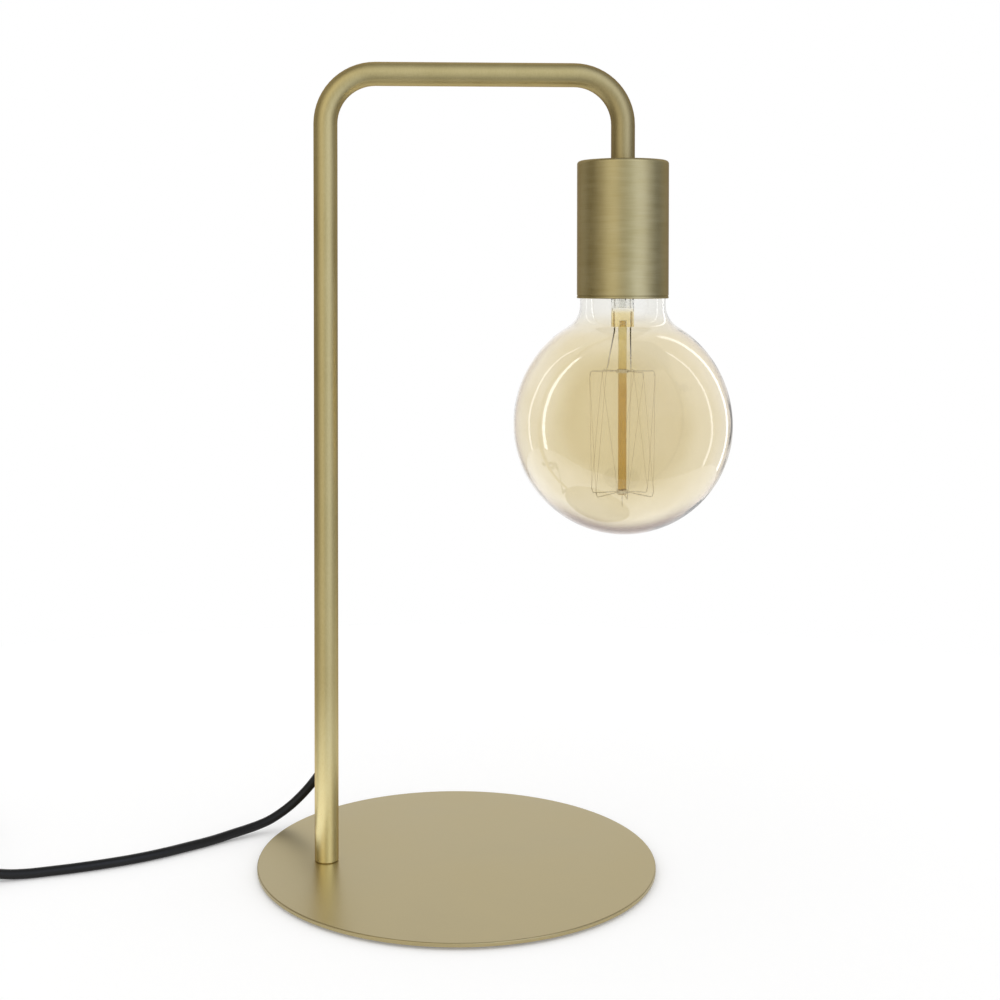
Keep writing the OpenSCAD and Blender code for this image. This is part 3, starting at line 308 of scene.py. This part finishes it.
def new_metal(name):
    material, tree, shader = new_material(name)
    shader.inputs["Metallic"].default_value = 1.0
    return material, tree, shader


def object_coordinates(tree, stretch=(1, 1, 1)):
    """The piece's own coordinates, in metres, stretched by a number for each axis."""
    coordinates = tree.nodes.new("ShaderNodeTexCoord")
    mapping = tree.nodes.new("ShaderNodeMapping")
    mapping.inputs["Scale"].default_value = stretch
    tree.links.new(coordinates.outputs["Object"], mapping.inputs["Vector"])
    return mapping.outputs["Vector"]


def separate(tree, vector):
    node = tree.nodes.new("ShaderNodeSeparateXYZ")
    tree.links.new(vector, node.inputs[0])
    return node.outputs


def noise(tree, scale, detail=3.0, roughness=0.5, stretch=(1, 1, 1)):
    texture = tree.nodes.new("ShaderNodeTexNoise")
    texture.inputs["Scale"].default_value = scale
    texture.inputs["Detail"].default_value = detail
    texture.inputs["Roughness"].default_value = roughness
    tree.links.new(object_coordinates(tree, stretch), texture.inputs["Vector"])
    return texture.outputs["Fac"]


def spread(tree, value, low, high):
    """Maps the middle of a noise to low and high."""
    reach = tree.nodes.new("ShaderNodeMapRange")
    reach.inputs["From Min"].default_value = NOISE_LOW
    reach.inputs["From Max"].default_value = NOISE_HIGH
    reach.inputs["To Min"].default_value = low
    reach.inputs["To Max"].default_value = high
    tree.links.new(value, reach.inputs["Value"])
    return reach.outputs["Result"]


def smooth(tree, value, low, high):
    """0 at low, 1 at high, and a soft step between them."""
    step = tree.nodes.new("ShaderNodeMapRange")
    step.interpolation_type = "SMOOTHSTEP"
    step.inputs["From Min"].default_value = low
    step.inputs["From Max"].default_value = high
    tree.links.new(value, step.inputs["Value"])
    return step.outputs["Result"]


def combined(tree, operation, first, second):
    """Two values in a Math node. The second may be a socket or a plain number."""
    node = tree.nodes.new("ShaderNodeMath")
    node.operation = operation
    tree.links.new(first, node.inputs[0])
    if isinstance(second, float):
        node.inputs[1].default_value = second
    else:
        tree.links.new(second, node.inputs[1])
    return node.outputs[0]


def product(tree, first, second):
    return combined(tree, "MULTIPLY", first, second)


def larger(tree, first, second):
    return combined(tree, "MAXIMUM", first, second)


def total(tree, *values):
    result = values[0]
    for value in values[1:]:
        result = combined(tree, "ADD", result, value)
    return result


def layers(tree, *pairs):
    """Adds up noises, each of them mapped to its own range."""
    return total(tree, *[spread(tree, value, *reach) for value, reach in pairs])


def added(tree, first, second):
    node = tree.nodes.new("ShaderNodeAddShader")
    tree.links.new(first, node.inputs[0])
    tree.links.new(second, node.inputs[1])
    return node.outputs[0]


def two_tone(tree, factor, first, second):
    ramp = tree.nodes.new("ShaderNodeValToRGB")
    ramp.color_ramp.elements[0].position = 0.0
    ramp.color_ramp.elements[0].color = opaque(first)
    ramp.color_ramp.elements[1].position = 1.0
    ramp.color_ramp.elements[1].color = opaque(second)
    tree.links.new(factor, ramp.inputs["Fac"])
    return ramp.outputs["Color"]


def mixed(tree, factor, first, second, kind="MIX"):
    """Two colours mixed. Each of the three may be a socket or a plain value."""
    mix = tree.nodes.new("ShaderNodeMix")
    mix.data_type = "RGBA"
    mix.blend_type = kind
    for value, place in ((factor, MIX_FACTOR), (first, MIX_FIRST), (second, MIX_SECOND)):
        if isinstance(value, float):
            mix.inputs[place].default_value = value
        elif isinstance(value, tuple):
            mix.inputs[place].default_value = opaque(value)
        else:
            tree.links.new(value, mix.inputs[place])
    return mix.outputs[MIX_RESULT]


def bump(tree, shader, height, distance):
    node = tree.nodes.new("ShaderNodeBump")
    node.inputs["Strength"].default_value = 1.0
    node.inputs["Distance"].default_value = distance
    tree.links.new(height, node.inputs["Height"])
    tree.links.new(node.outputs["Normal"], shader.inputs["Normal"])


def paint(tree, shader, colour, rough):
    tree.links.new(colour, shader.inputs["Base Color"])
    tree.links.new(rough, shader.inputs["Roughness"])


# The tube: satin brass, glossier at its foot, with a painted sheen that brightens the foot and painted shade
# that darkens it a little above the cup
TUBE_MOTTLE = {"scale": 1500.0, "detail": 4.0, "roughness": 0.6, "stretch": (1, 1, 0.35)}
TUBE_STREAKS = {"scale": 55.0, "stretch": (1, 1, 0.5)}
TUBE_MOTTLE_TONE = (-0.25, 0.25)
TUBE_STREAKS_TONE = (0.3, 0.7)
TUBE_MOTTLE_ROUGH = (-0.03, 0.03)
TUBE_STREAKS_ROUGH = (0.4, 0.46)
TUBE_GRAIN_DEPTH = 0.00003
TUBE_EDGE_TINT = (0.5, 0.38, 0.34)
SATIN_DARK = (0.45, 0.365, 0.16)
SATIN_LIGHT = (0.56, 0.47, 0.23)
# Painted sheen: a brighter gold painted on the tube's foot, fading out between the two heights below, which
# also set where the foot is glossier
FOOT_PAINTED_SHEEN_DARK = (0.93, 0.79, 0.4)
FOOT_PAINTED_SHEEN_LIGHT = (1.0, 0.91, 0.52)
FOOT_GLOSS_AND_SHEEN_FROM = 0.11
FOOT_GLOSS_AND_SHEEN_TO = 0.006
POLISH = -0.13
# Painted shade: the satin colour is multiplied darker along the tube past this place, on the drop above the
# cup
DROP_SHADE_FROM = 0.055
DROP_SHADE_TO = 0.089
DROP_PAINTED_SHADE = (0.78, 0.77, 0.8)


def brass_tube():
    """A fine mottle, and faint streaks along the tube's length."""
    material, tree, shader = new_metal("brass_tube")
    mottle = noise(tree, **TUBE_MOTTLE)
    streaks = noise(tree, **TUBE_STREAKS)
    place = separate(tree, object_coordinates(tree))
    tone = layers(tree, (mottle, TUBE_MOTTLE_TONE), (streaks, TUBE_STREAKS_TONE))
    satin = two_tone(tree, tone, SATIN_DARK, SATIN_LIGHT)
    # The painted sheen's colours for the foot
    painted_sheen = two_tone(tree, tone, FOOT_PAINTED_SHEEN_DARK, FOOT_PAINTED_SHEEN_LIGHT)
    # Painted shade on the drop
    shaded_satin = mixed(tree, 1.0, satin, DROP_PAINTED_SHADE, "MULTIPLY")
    satin = mixed(tree, smooth(tree, place["X"], DROP_SHADE_FROM, DROP_SHADE_TO), satin, shaded_satin)
    # 0 above, 1 at the foot: mixes in the painted sheen and lowers the roughness
    foot_gloss_and_sheen = smooth(tree, place["Z"], FOOT_GLOSS_AND_SHEEN_FROM, FOOT_GLOSS_AND_SHEEN_TO)
    rough = layers(tree, (mottle, TUBE_MOTTLE_ROUGH), (streaks, TUBE_STREAKS_ROUGH))
    rough = total(tree, rough, product(tree, foot_gloss_and_sheen, POLISH))
    paint(tree, shader, mixed(tree, foot_gloss_and_sheen, satin, painted_sheen), rough)
    shader.inputs["Specular Tint"].default_value = opaque(TUBE_EDGE_TINT)
    bump(tree, shader, mottle, TUBE_GRAIN_DEPTH)
    return material


# The base: a matt, even brass
PLATE_GRAIN = {"scale": 1200.0, "detail": 4.0, "roughness": 0.6}
PLATE_CLOUDS = {"scale": 15.0}
PLATE_GRAIN_TONE = (-0.15, 0.15)
PLATE_CLOUDS_TONE = (0.15, 0.85)
PLATE_GRAIN_ROUGH = (-0.03, 0.03)
PLATE_CLOUDS_ROUGH = (0.3, 0.4)
PLATE_GRAIN_DEPTH = 0.00002
PLATE_DARK = (0.39, 0.322, 0.167)
PLATE_LIGHT = (0.475, 0.397, 0.216)


def brass_plate():
    """Clouded patches under a fine grain."""
    material, tree, shader = new_metal("brass_plate")
    grain = noise(tree, **PLATE_GRAIN)
    clouds = noise(tree, **PLATE_CLOUDS)
    tone = layers(tree, (grain, PLATE_GRAIN_TONE), (clouds, PLATE_CLOUDS_TONE))
    rough = layers(tree, (grain, PLATE_GRAIN_ROUGH), (clouds, PLATE_CLOUDS_ROUGH))
    paint(tree, shader, two_tone(tree, tone, PLATE_DARK, PLATE_LIGHT), rough)
    bump(tree, shader, grain, PLATE_GRAIN_DEPTH)
    return material


# The cup: brass brushed round its axis
CUP_SCRATCHES = {"scale": 2600.0, "roughness": 0.6, "stretch": (0.03, 0.03, 1)}
CUP_BANDS = {"scale": 420.0, "roughness": 0.55, "stretch": (0.12, 0.12, 1)}
CUP_BLOTCHES = {"scale": 48.0, "detail": 2.0}
CUP_SCRATCHES_TONE = (-0.15, 0.15)
CUP_BANDS_TONE = (-0.2, 0.2)
CUP_BLOTCHES_TONE = (0.3, 0.7)
CUP_SCRATCHES_ROUGH = (-0.03, 0.03)
CUP_BANDS_ROUGH = (0.3, 0.38)
CUP_BLOTCHES_HEIGHT = 30.0
CUP_DEPTH = 0.00001
CUP_DARK = (0.39, 0.32, 0.145)
CUP_LIGHT = (0.5, 0.43, 0.235)
CUP_EDGE_TINT = (0.62, 0.54, 0.46)


def brushed_brass():
    """The scratches lie level, with soft blotches between them."""
    material, tree, shader = new_metal("brushed_brass")
    scratches = noise(tree, **CUP_SCRATCHES)
    bands = noise(tree, **CUP_BANDS)
    blotches = noise(tree, **CUP_BLOTCHES)
    tone = layers(tree, (scratches, CUP_SCRATCHES_TONE), (bands, CUP_BANDS_TONE),
                  (blotches, CUP_BLOTCHES_TONE))
    rough = layers(tree, (scratches, CUP_SCRATCHES_ROUGH), (bands, CUP_BANDS_ROUGH))
    paint(tree, shader, two_tone(tree, tone, CUP_DARK, CUP_LIGHT), rough)
    shader.inputs["Specular Tint"].default_value = opaque(CUP_EDGE_TINT)
    height = total(tree, product(tree, blotches, CUP_BLOTCHES_HEIGHT), scratches, bands)
    bump(tree, shader, height, CUP_DEPTH)
    return material


# Plain metals: the darkest and lightest colour of their mottle, and their least and most roughness
METALS = {
    "raw_brass": ((0.6, 0.45, 0.2), (0.78, 0.62, 0.32), 0.22, 0.34),
    "zinc_steel": ((0.45, 0.45, 0.46), (0.62, 0.62, 0.64), 0.28, 0.4),
    "nickel": ((0.66, 0.64, 0.6), (0.82, 0.8, 0.77), 0.2, 0.3),
    "copper": ((0.6, 0.33, 0.2), (0.75, 0.45, 0.3), 0.25, 0.35),
}
METAL_GRAIN = 900.0
METAL_DEPTH = 0.00001


def plain_metal(name, dark, light, low_rough, high_rough):
    material, tree, shader = new_metal(name)
    grain = noise(tree, METAL_GRAIN)
    paint(tree, shader, two_tone(tree, grain, dark, light), spread(tree, grain, low_rough, high_rough))
    bump(tree, shader, grain, METAL_DEPTH)
    return material


# Plastics, rubber and other dull materials, in the same order
PLASTICS = {
    "filament_wire": ((0.74, 0.66, 0.5), (0.84, 0.77, 0.6), 0.4, 0.55),
    "black_glass": ((0.01, 0.01, 0.012), (0.02, 0.02, 0.022), 0.1, 0.2),
    "white_ceramic": ((0.78, 0.77, 0.72), (0.84, 0.83, 0.79), 0.18, 0.28),
    "black_bakelite": ((0.012, 0.012, 0.012), (0.02, 0.02, 0.02), 0.38, 0.5),
    "black_plastic": ((0.014, 0.014, 0.014), (0.022, 0.022, 0.022), 0.4, 0.55),
    "white_plastic": ((0.7, 0.7, 0.66), (0.78, 0.78, 0.75), 0.35, 0.45),
    "black_rubber": ((0.012, 0.012, 0.012), (0.02, 0.02, 0.02), 0.45, 0.6),
    "black_cord": ((0.007, 0.007, 0.007), (0.012, 0.012, 0.012), 0.3, 0.42),
    "brown_wire": ((0.1, 0.04, 0.015), (0.14, 0.06, 0.025), 0.35, 0.45),
    "blue_wire": ((0.012, 0.045, 0.26), (0.02, 0.07, 0.33), 0.35, 0.45),
    "pad_foam": ((0.01, 0.01, 0.01), (0.02, 0.02, 0.02), 0.7, 0.85),
}
PLASTIC_CLOUDS = {"scale": 40.0, "detail": 2.0}
PLASTIC_GRAIN = 1500.0
PLASTIC_DEPTH = 0.00003
PLASTIC_GLOSS = 0.5

# What differs from those three values
OWN_SURFACES = {
    "filament_wire": {"grain": 900.0, "depth": 0.00001},
    "black_cord": {"grain": 700.0, "gloss": 0.25},
    "pad_foam": {"grain": 1800.0, "depth": 0.0001},
}


def plain_plastic(name, dark, light, low_rough, high_rough,
                  grain=PLASTIC_GRAIN, depth=PLASTIC_DEPTH, gloss=PLASTIC_GLOSS):
    material, tree, shader = new_material(name)
    shader.inputs["Specular IOR Level"].default_value = gloss
    fine = noise(tree, grain)
    clouds = noise(tree, **PLASTIC_CLOUDS)
    paint(tree, shader, two_tone(tree, clouds, dark, light), spread(tree, fine, low_rough, high_rough))
    bump(tree, shader, fine, depth)
    return material


# Glass. Heights in it are in metres above the table, and facing is 0 where it is seen face on
WAVES = {"scale": 28.0, "detail": 2.0}
WAVES_DEPTH = 0.0004
GLASS_BEND = 1.5
FACING_BLEND = 0.5
# Film tint by facing: the face-on amber is the glass's own colour, painted darker there as a reflection, and
# the paler edge colour is a painted reflection
FILM_FACE_ON_AMBER_PAINTED_DARK = (0.81, 0.735, 0.54)
FILM_EDGE_PAINTED_REFLECTION = (0.97, 0.93, 0.835)
FILM_FACING = (0.1, 0.32)
FILM_UNEVEN = (-0.05, 0.05)
# Painted reflection: a pale rim where the globe is seen edge on
RIM_PAINTED_REFLECTION = (0.9, 0.8, 0.72)
RIM_REFLECTION_FACING = (0.64, 0.86)
# Painted shade: dark brown on the lower globe where it is seen nearly edge on
LOWER_RIM_PAINTED_SHADE = (0.22, 0.14, 0.12)
LOWER_RIM_SHADE_FACING = (0.5, 0.76)
LOWER_RIM_SHADE_HEIGHTS = (0.205, 0.188)
NECK = (0.93, 0.925, 0.9)
NECK_HEIGHTS = (0.288, 0.304)
RIPPLES = {"scale": 260.0, "detail": 2.0}
RIPPLES_DEPTH = 0.0003
ROD_LOW = (0.81, 0.595, 0.18)
ROD_HIGH = (0.98, 0.87, 0.5)
ROD_HEIGHTS = (0.258, 0.278)
ROD_ROUGH = 0.1
ROD_CLEAR = 0.8
ROD_BEND = 1.2
PINCH_LOW = (0.9, 0.77, 0.42)
PINCH_HIGH = (0.95, 0.95, 0.93)
PINCH_HEIGHTS = (0.301, 0.306)


def glass_shader(name, rough=0.0, clear=1.0, bend=GLASS_BEND):
    material, tree, shader = new_material(name)
    shader.inputs["Transmission Weight"].default_value = clear
    shader.inputs["IOR"].default_value = bend
    shader.inputs["Roughness"].default_value = rough
    return material, tree, shader


def amber_glass():
    """Clear glass under an amber film that ends below the neck. Its tint holds painted reflection: darker
    amber where seen face on, paler towards the rim, and painted shade in dark brown at the lower rim.
    """
    material, tree, shader = glass_shader("amber_glass")
    waves = noise(tree, **WAVES)
    height = separate(tree, object_coordinates(tree))["Z"]
    weight = tree.nodes.new("ShaderNodeLayerWeight")
    weight.inputs["Blend"].default_value = FACING_BLEND
    facing = weight.outputs["Facing"]
    uneven = total(tree, facing, spread(tree, waves, *FILM_UNEVEN))
    # Painted reflection: darker amber face on, paler towards the edge
    film = mixed(tree, smooth(tree, uneven, *FILM_FACING), FILM_FACE_ON_AMBER_PAINTED_DARK, FILM_EDGE_PAINTED_REFLECTION)
    # Painted reflection at the rim
    film = mixed(tree, smooth(tree, facing, *RIM_REFLECTION_FACING), film, RIM_PAINTED_REFLECTION)
    # Painted shade at the lower rim
    lower_rim_shade = product(tree, smooth(tree, facing, *LOWER_RIM_SHADE_FACING), smooth(tree, height, *LOWER_RIM_SHADE_HEIGHTS))
    film = mixed(tree, lower_rim_shade, film, LOWER_RIM_PAINTED_SHADE)
    tint = mixed(tree, smooth(tree, height, *NECK_HEIGHTS), film, NECK)
    tree.links.new(tint, shader.inputs["Base Color"])
    bump(tree, shader, waves, WAVES_DEPTH)
    return material


def stem_glass(name, low_colour, high_colour, heights, **looks):
    """Glass whose tint changes between two heights in the bulb, with the small ripples of pressed glass."""
    material, tree, shader = glass_shader(name, **looks)
    ripples = noise(tree, **RIPPLES)
    height = separate(tree, object_coordinates(tree))["Z"]
    tint = mixed(tree, smooth(tree, height, *heights), low_colour, high_colour)
    tree.links.new(tint, shader.inputs["Base Color"])
    bump(tree, shader, ripples, RIPPLES_DEPTH)
    return material


def make_materials():
    made = {
        "brass_plate": brass_plate(),
        "brass_tube": brass_tube(),
        "brushed_brass": brushed_brass(),
        "amber_glass": amber_glass(),
        "amber_rod": stem_glass("amber_rod", ROD_LOW, ROD_HIGH, ROD_HEIGHTS,
                                rough=ROD_ROUGH, clear=ROD_CLEAR, bend=ROD_BEND),
    }
    for name, look in METALS.items():
        made[name] = plain_metal(name, *look)
    for name, look in PLASTICS.items():
        made[name] = plain_plastic(name, *look, **OWN_SURFACES.get(name, {}))
    return made


MATERIALS = make_materials()

# The pressed stem is clear glass with a golden pinch, under the same slot as the globe
OWN_MATERIALS = {"glass_stem": stem_glass("golden_pinch", PINCH_LOW, PINCH_HIGH, PINCH_HEIGHTS)}


def dress_nodes():
    for row in frame["record"]["subparts"]:
        piece = nodes[row["node"]]
        material = OWN_MATERIALS.get(row["node"], MATERIALS[row["material_slot"]])
        piece.data.materials.clear()
        piece.data.materials.append(material)
        for polygon in piece.data.polygons:
            polygon.material_index = 0
    for cord in cords:
        cord.data.materials.append(MATERIALS["black_cord"])
    glass.data.materials.append(MATERIALS["amber_glass"])


dress_nodes()


# Studio: a white oval table that keeps a soft shadow. A glow lifts it to white, but lights no matt surface
TABLE_CENTRE = (-0.02, 0.18)
TABLE_REACH = (0.64, 0.40)
TABLE_STEPS = 96
PAPER = 0.85
PAPER_LIFT = 0.17


def make_floor():
    turns = [math.tau * i / TABLE_STEPS for i in range(TABLE_STEPS)]
    edge = [(TABLE_CENTRE[0] + TABLE_REACH[0] * math.cos(a),
             TABLE_CENTRE[1] + TABLE_REACH[1] * math.sin(a), 0) for a in turns]
    mesh = bpy.data.meshes.new("floor")
    mesh.from_pydata(edge, [], [tuple(range(TABLE_STEPS))])
    floor = add_object("floor", mesh)
    material = bpy.data.materials.new("floor")
    material.use_nodes = True
    tree = material.node_tree
    tree.nodes.clear()
    output = tree.nodes.new("ShaderNodeOutputMaterial")
    paper = tree.nodes.new("ShaderNodeBsdfDiffuse")
    paper.inputs["Color"].default_value = opaque((PAPER, PAPER, PAPER))
    path = tree.nodes.new("ShaderNodeLightPath")
    seen = larger(tree, path.outputs["Is Camera Ray"], path.outputs["Is Transmission Ray"])
    seen = larger(tree, seen, path.outputs["Is Glossy Ray"])
    glow = tree.nodes.new("ShaderNodeEmission")
    tree.links.new(product(tree, seen, PAPER_LIFT), glow.inputs["Strength"])
    tree.links.new(added(tree, paper.outputs[0], glow.outputs[0]), output.inputs["Surface"])
    mesh.materials.append(material)


# The room that gloss sees, by direction in degrees: 0 is towards the camera, and right is positive
ROOM = [
    (-180, (1.0, 1.0, 1.0)), (-174, (1.0, 1.0, 1.0)), (-162, (0.5, 0.48, 0.47)), (-125, (0.48, 0.46, 0.44)),
    (-95, (0.2, 0.18, 0.15)), (-66, (0.52, 0.48, 0.4)), (-42, (1.02, 0.99, 0.9)), (-28, (1.08, 1.05, 0.98)),
    (-8, (0.66, 0.67, 0.68)), (8, (0.78, 0.84, 0.92)), (28, (1.22, 1.34, 1.68)), (42, (1.18, 1.28, 1.6)),
    (62, (0.64, 0.68, 0.8)), (85, (0.28, 0.3, 0.35)), (125, (0.5, 0.49, 0.49)), (146, (0.52, 0.51, 0.5)),
    (160, (0.75, 0.74, 0.72)), (174, (1.0, 1.0, 1.0)), (180, (1.0, 1.0, 1.0)),
]
ROOM_TOP = 1.6

# And by height, from straight down to straight up, as the sine of the angle
HEIGHTS = [
    (-1.0, 0.4), (-0.75, 0.4), (-0.25, 0.95), (0.1, 1.0), (0.3, 1.25), (0.7, 1.15), (0.93, 0.6), (1.0, 0.55),
]
HEIGHTS_TOP = 1.25

# Heights count on the camera's side and at the ceiling. The far wall, past these directions, is even
FAR_WALL = 174
FAR_WALL_FADE = 162
CEILING_FROM = 0.75
CEILING_TO = 0.93

# Tall narrow windows, which only smooth glass mirrors
WINDOWS = [
    (-125, 0.0), (-124, 0.4), (-122, 0.4), (-121, 0.0), (-101.5, 0.0), (-100, 1.0), (-97, 1.0), (-95.5, 0.0),
    (94, 0.0), (95, 0.5), (97, 0.5), (98, 0.0), (126, 0.0), (128, 0.45), (131, 0.45), (133, 0.0),
]
WINDOW_LIGHT = 7.0
WINDOW_LOW = -0.45
WINDOW_HIGH = 0.82
WINDOW_SOFT = 0.03


def grey(value):
    return (value, value, value)


def ramp(tree, place, stops, kind="EASE"):
    node = tree.nodes.new("ShaderNodeValToRGB")
    node.color_ramp.interpolation = kind
    elements = node.color_ramp.elements
    while len(elements) > 1:
        elements.remove(elements[-1])
    for i, (position, colour) in enumerate(stops):
        stop = elements[0] if i == 0 else elements.new(position)
        stop.position = position
        stop.color = opaque(colour)
    tree.links.new(place, node.inputs["Fac"])
    return node.outputs["Color"]


def round_place(degrees):
    return (degrees + 180) / 360


def background(tree, colour, strength):
    node = tree.nodes.new("ShaderNodeBackground")
    node.inputs["Strength"].default_value = strength
    if isinstance(colour, tuple):
        node.inputs["Color"].default_value = opaque(colour)
    else:
        tree.links.new(colour, node.inputs["Color"])
    return node.outputs[0]


def chosen(tree, factor, first, second):
    node = tree.nodes.new("ShaderNodeMixShader")
    tree.links.new(factor, node.inputs["Fac"])
    tree.links.new(first, node.inputs[1])
    tree.links.new(second, node.inputs[2])
    return node.outputs[0]


def direction_places(tree):
    """A direction's place round the room and from floor to ceiling, both 0 to 1, and its height, -1 to 1."""
    coordinates = tree.nodes.new("ShaderNodeTexCoord")
    axes = separate(tree, coordinates.outputs["Generated"])
    angle = combined(tree, "ARCTAN2", axes["X"], product(tree, axes["Y"], -1.0))
    turn = tree.nodes.new("ShaderNodeMapRange")
    turn.inputs["From Min"].default_value = -math.pi
    turn.inputs["From Max"].default_value = math.pi
    tree.links.new(angle, turn.inputs["Value"])
    lift = tree.nodes.new("ShaderNodeMapRange")
    lift.inputs["From Min"].default_value = -1.0
    tree.links.new(axes["Z"], lift.inputs["Value"])
    return turn.outputs["Result"], lift.outputs["Result"], axes["Z"]


def room_colour(tree, around, rise, height):
    walls = ramp(tree, around, [(round_place(d), tuple(c / ROOM_TOP for c in rgb)) for d, rgb in ROOM])
    levels = ramp(tree, rise, [((z + 1) / 2, grey(v / HEIGHTS_TOP)) for z, v in HEIGHTS])
    near_side = ramp(tree, around, [
        (0.0, BLACK), (round_place(-FAR_WALL), BLACK), (round_place(-FAR_WALL_FADE), WHITE),
        (round_place(FAR_WALL_FADE), WHITE), (round_place(FAR_WALL), BLACK),
    ])
    ceiling = smooth(tree, height, CEILING_FROM, CEILING_TO)
    shade = mixed(tree, larger(tree, near_side, ceiling), grey(1 / HEIGHTS_TOP), levels)
    return mixed(tree, 1.0, walls, shade, "MULTIPLY")


def window_colour(tree, around, height, path):
    panes = ramp(tree, around, [(round_place(d), grey(v)) for d, v in WINDOWS], "LINEAR")
    above = smooth(tree, height, WINDOW_LOW - WINDOW_SOFT, WINDOW_LOW + WINDOW_SOFT)
    below = smooth(tree, height, WINDOW_HIGH + WINDOW_SOFT, WINDOW_HIGH - WINDOW_SOFT)
    mirrored = product(tree, product(tree, above, below), path.outputs["Is Singular Ray"])
    return mixed(tree, mirrored, BLACK, panes)


def make_world():
    """White to the camera, on matt surfaces and through glass. Gloss sees the room and its windows."""
    world = bpy.data.worlds.new("studio")
    bpy.context.scene.world = world
    world.use_nodes = True
    tree = world.node_tree
    tree.nodes.clear()
    output = tree.nodes.new("ShaderNodeOutputWorld")
    path = tree.nodes.new("ShaderNodeLightPath")
    around, rise, height = direction_places(tree)
    room = background(tree, room_colour(tree, around, rise, height), ROOM_TOP * HEIGHTS_TOP)
    windows = background(tree, window_colour(tree, around, height, path), WINDOW_LIGHT)
    white = background(tree, WHITE, 1.0)
    reflected = chosen(tree, path.outputs["Is Transmission Ray"], added(tree, room, windows), white)
    shown = chosen(tree, path.outputs["Is Glossy Ray"], white, reflected)
    tree.links.new(shown, output.inputs["Surface"])


def make_studio():
    make_floor()
    make_world()
    bpy.context.scene.view_settings.view_transform = "Standard"


make_studio()
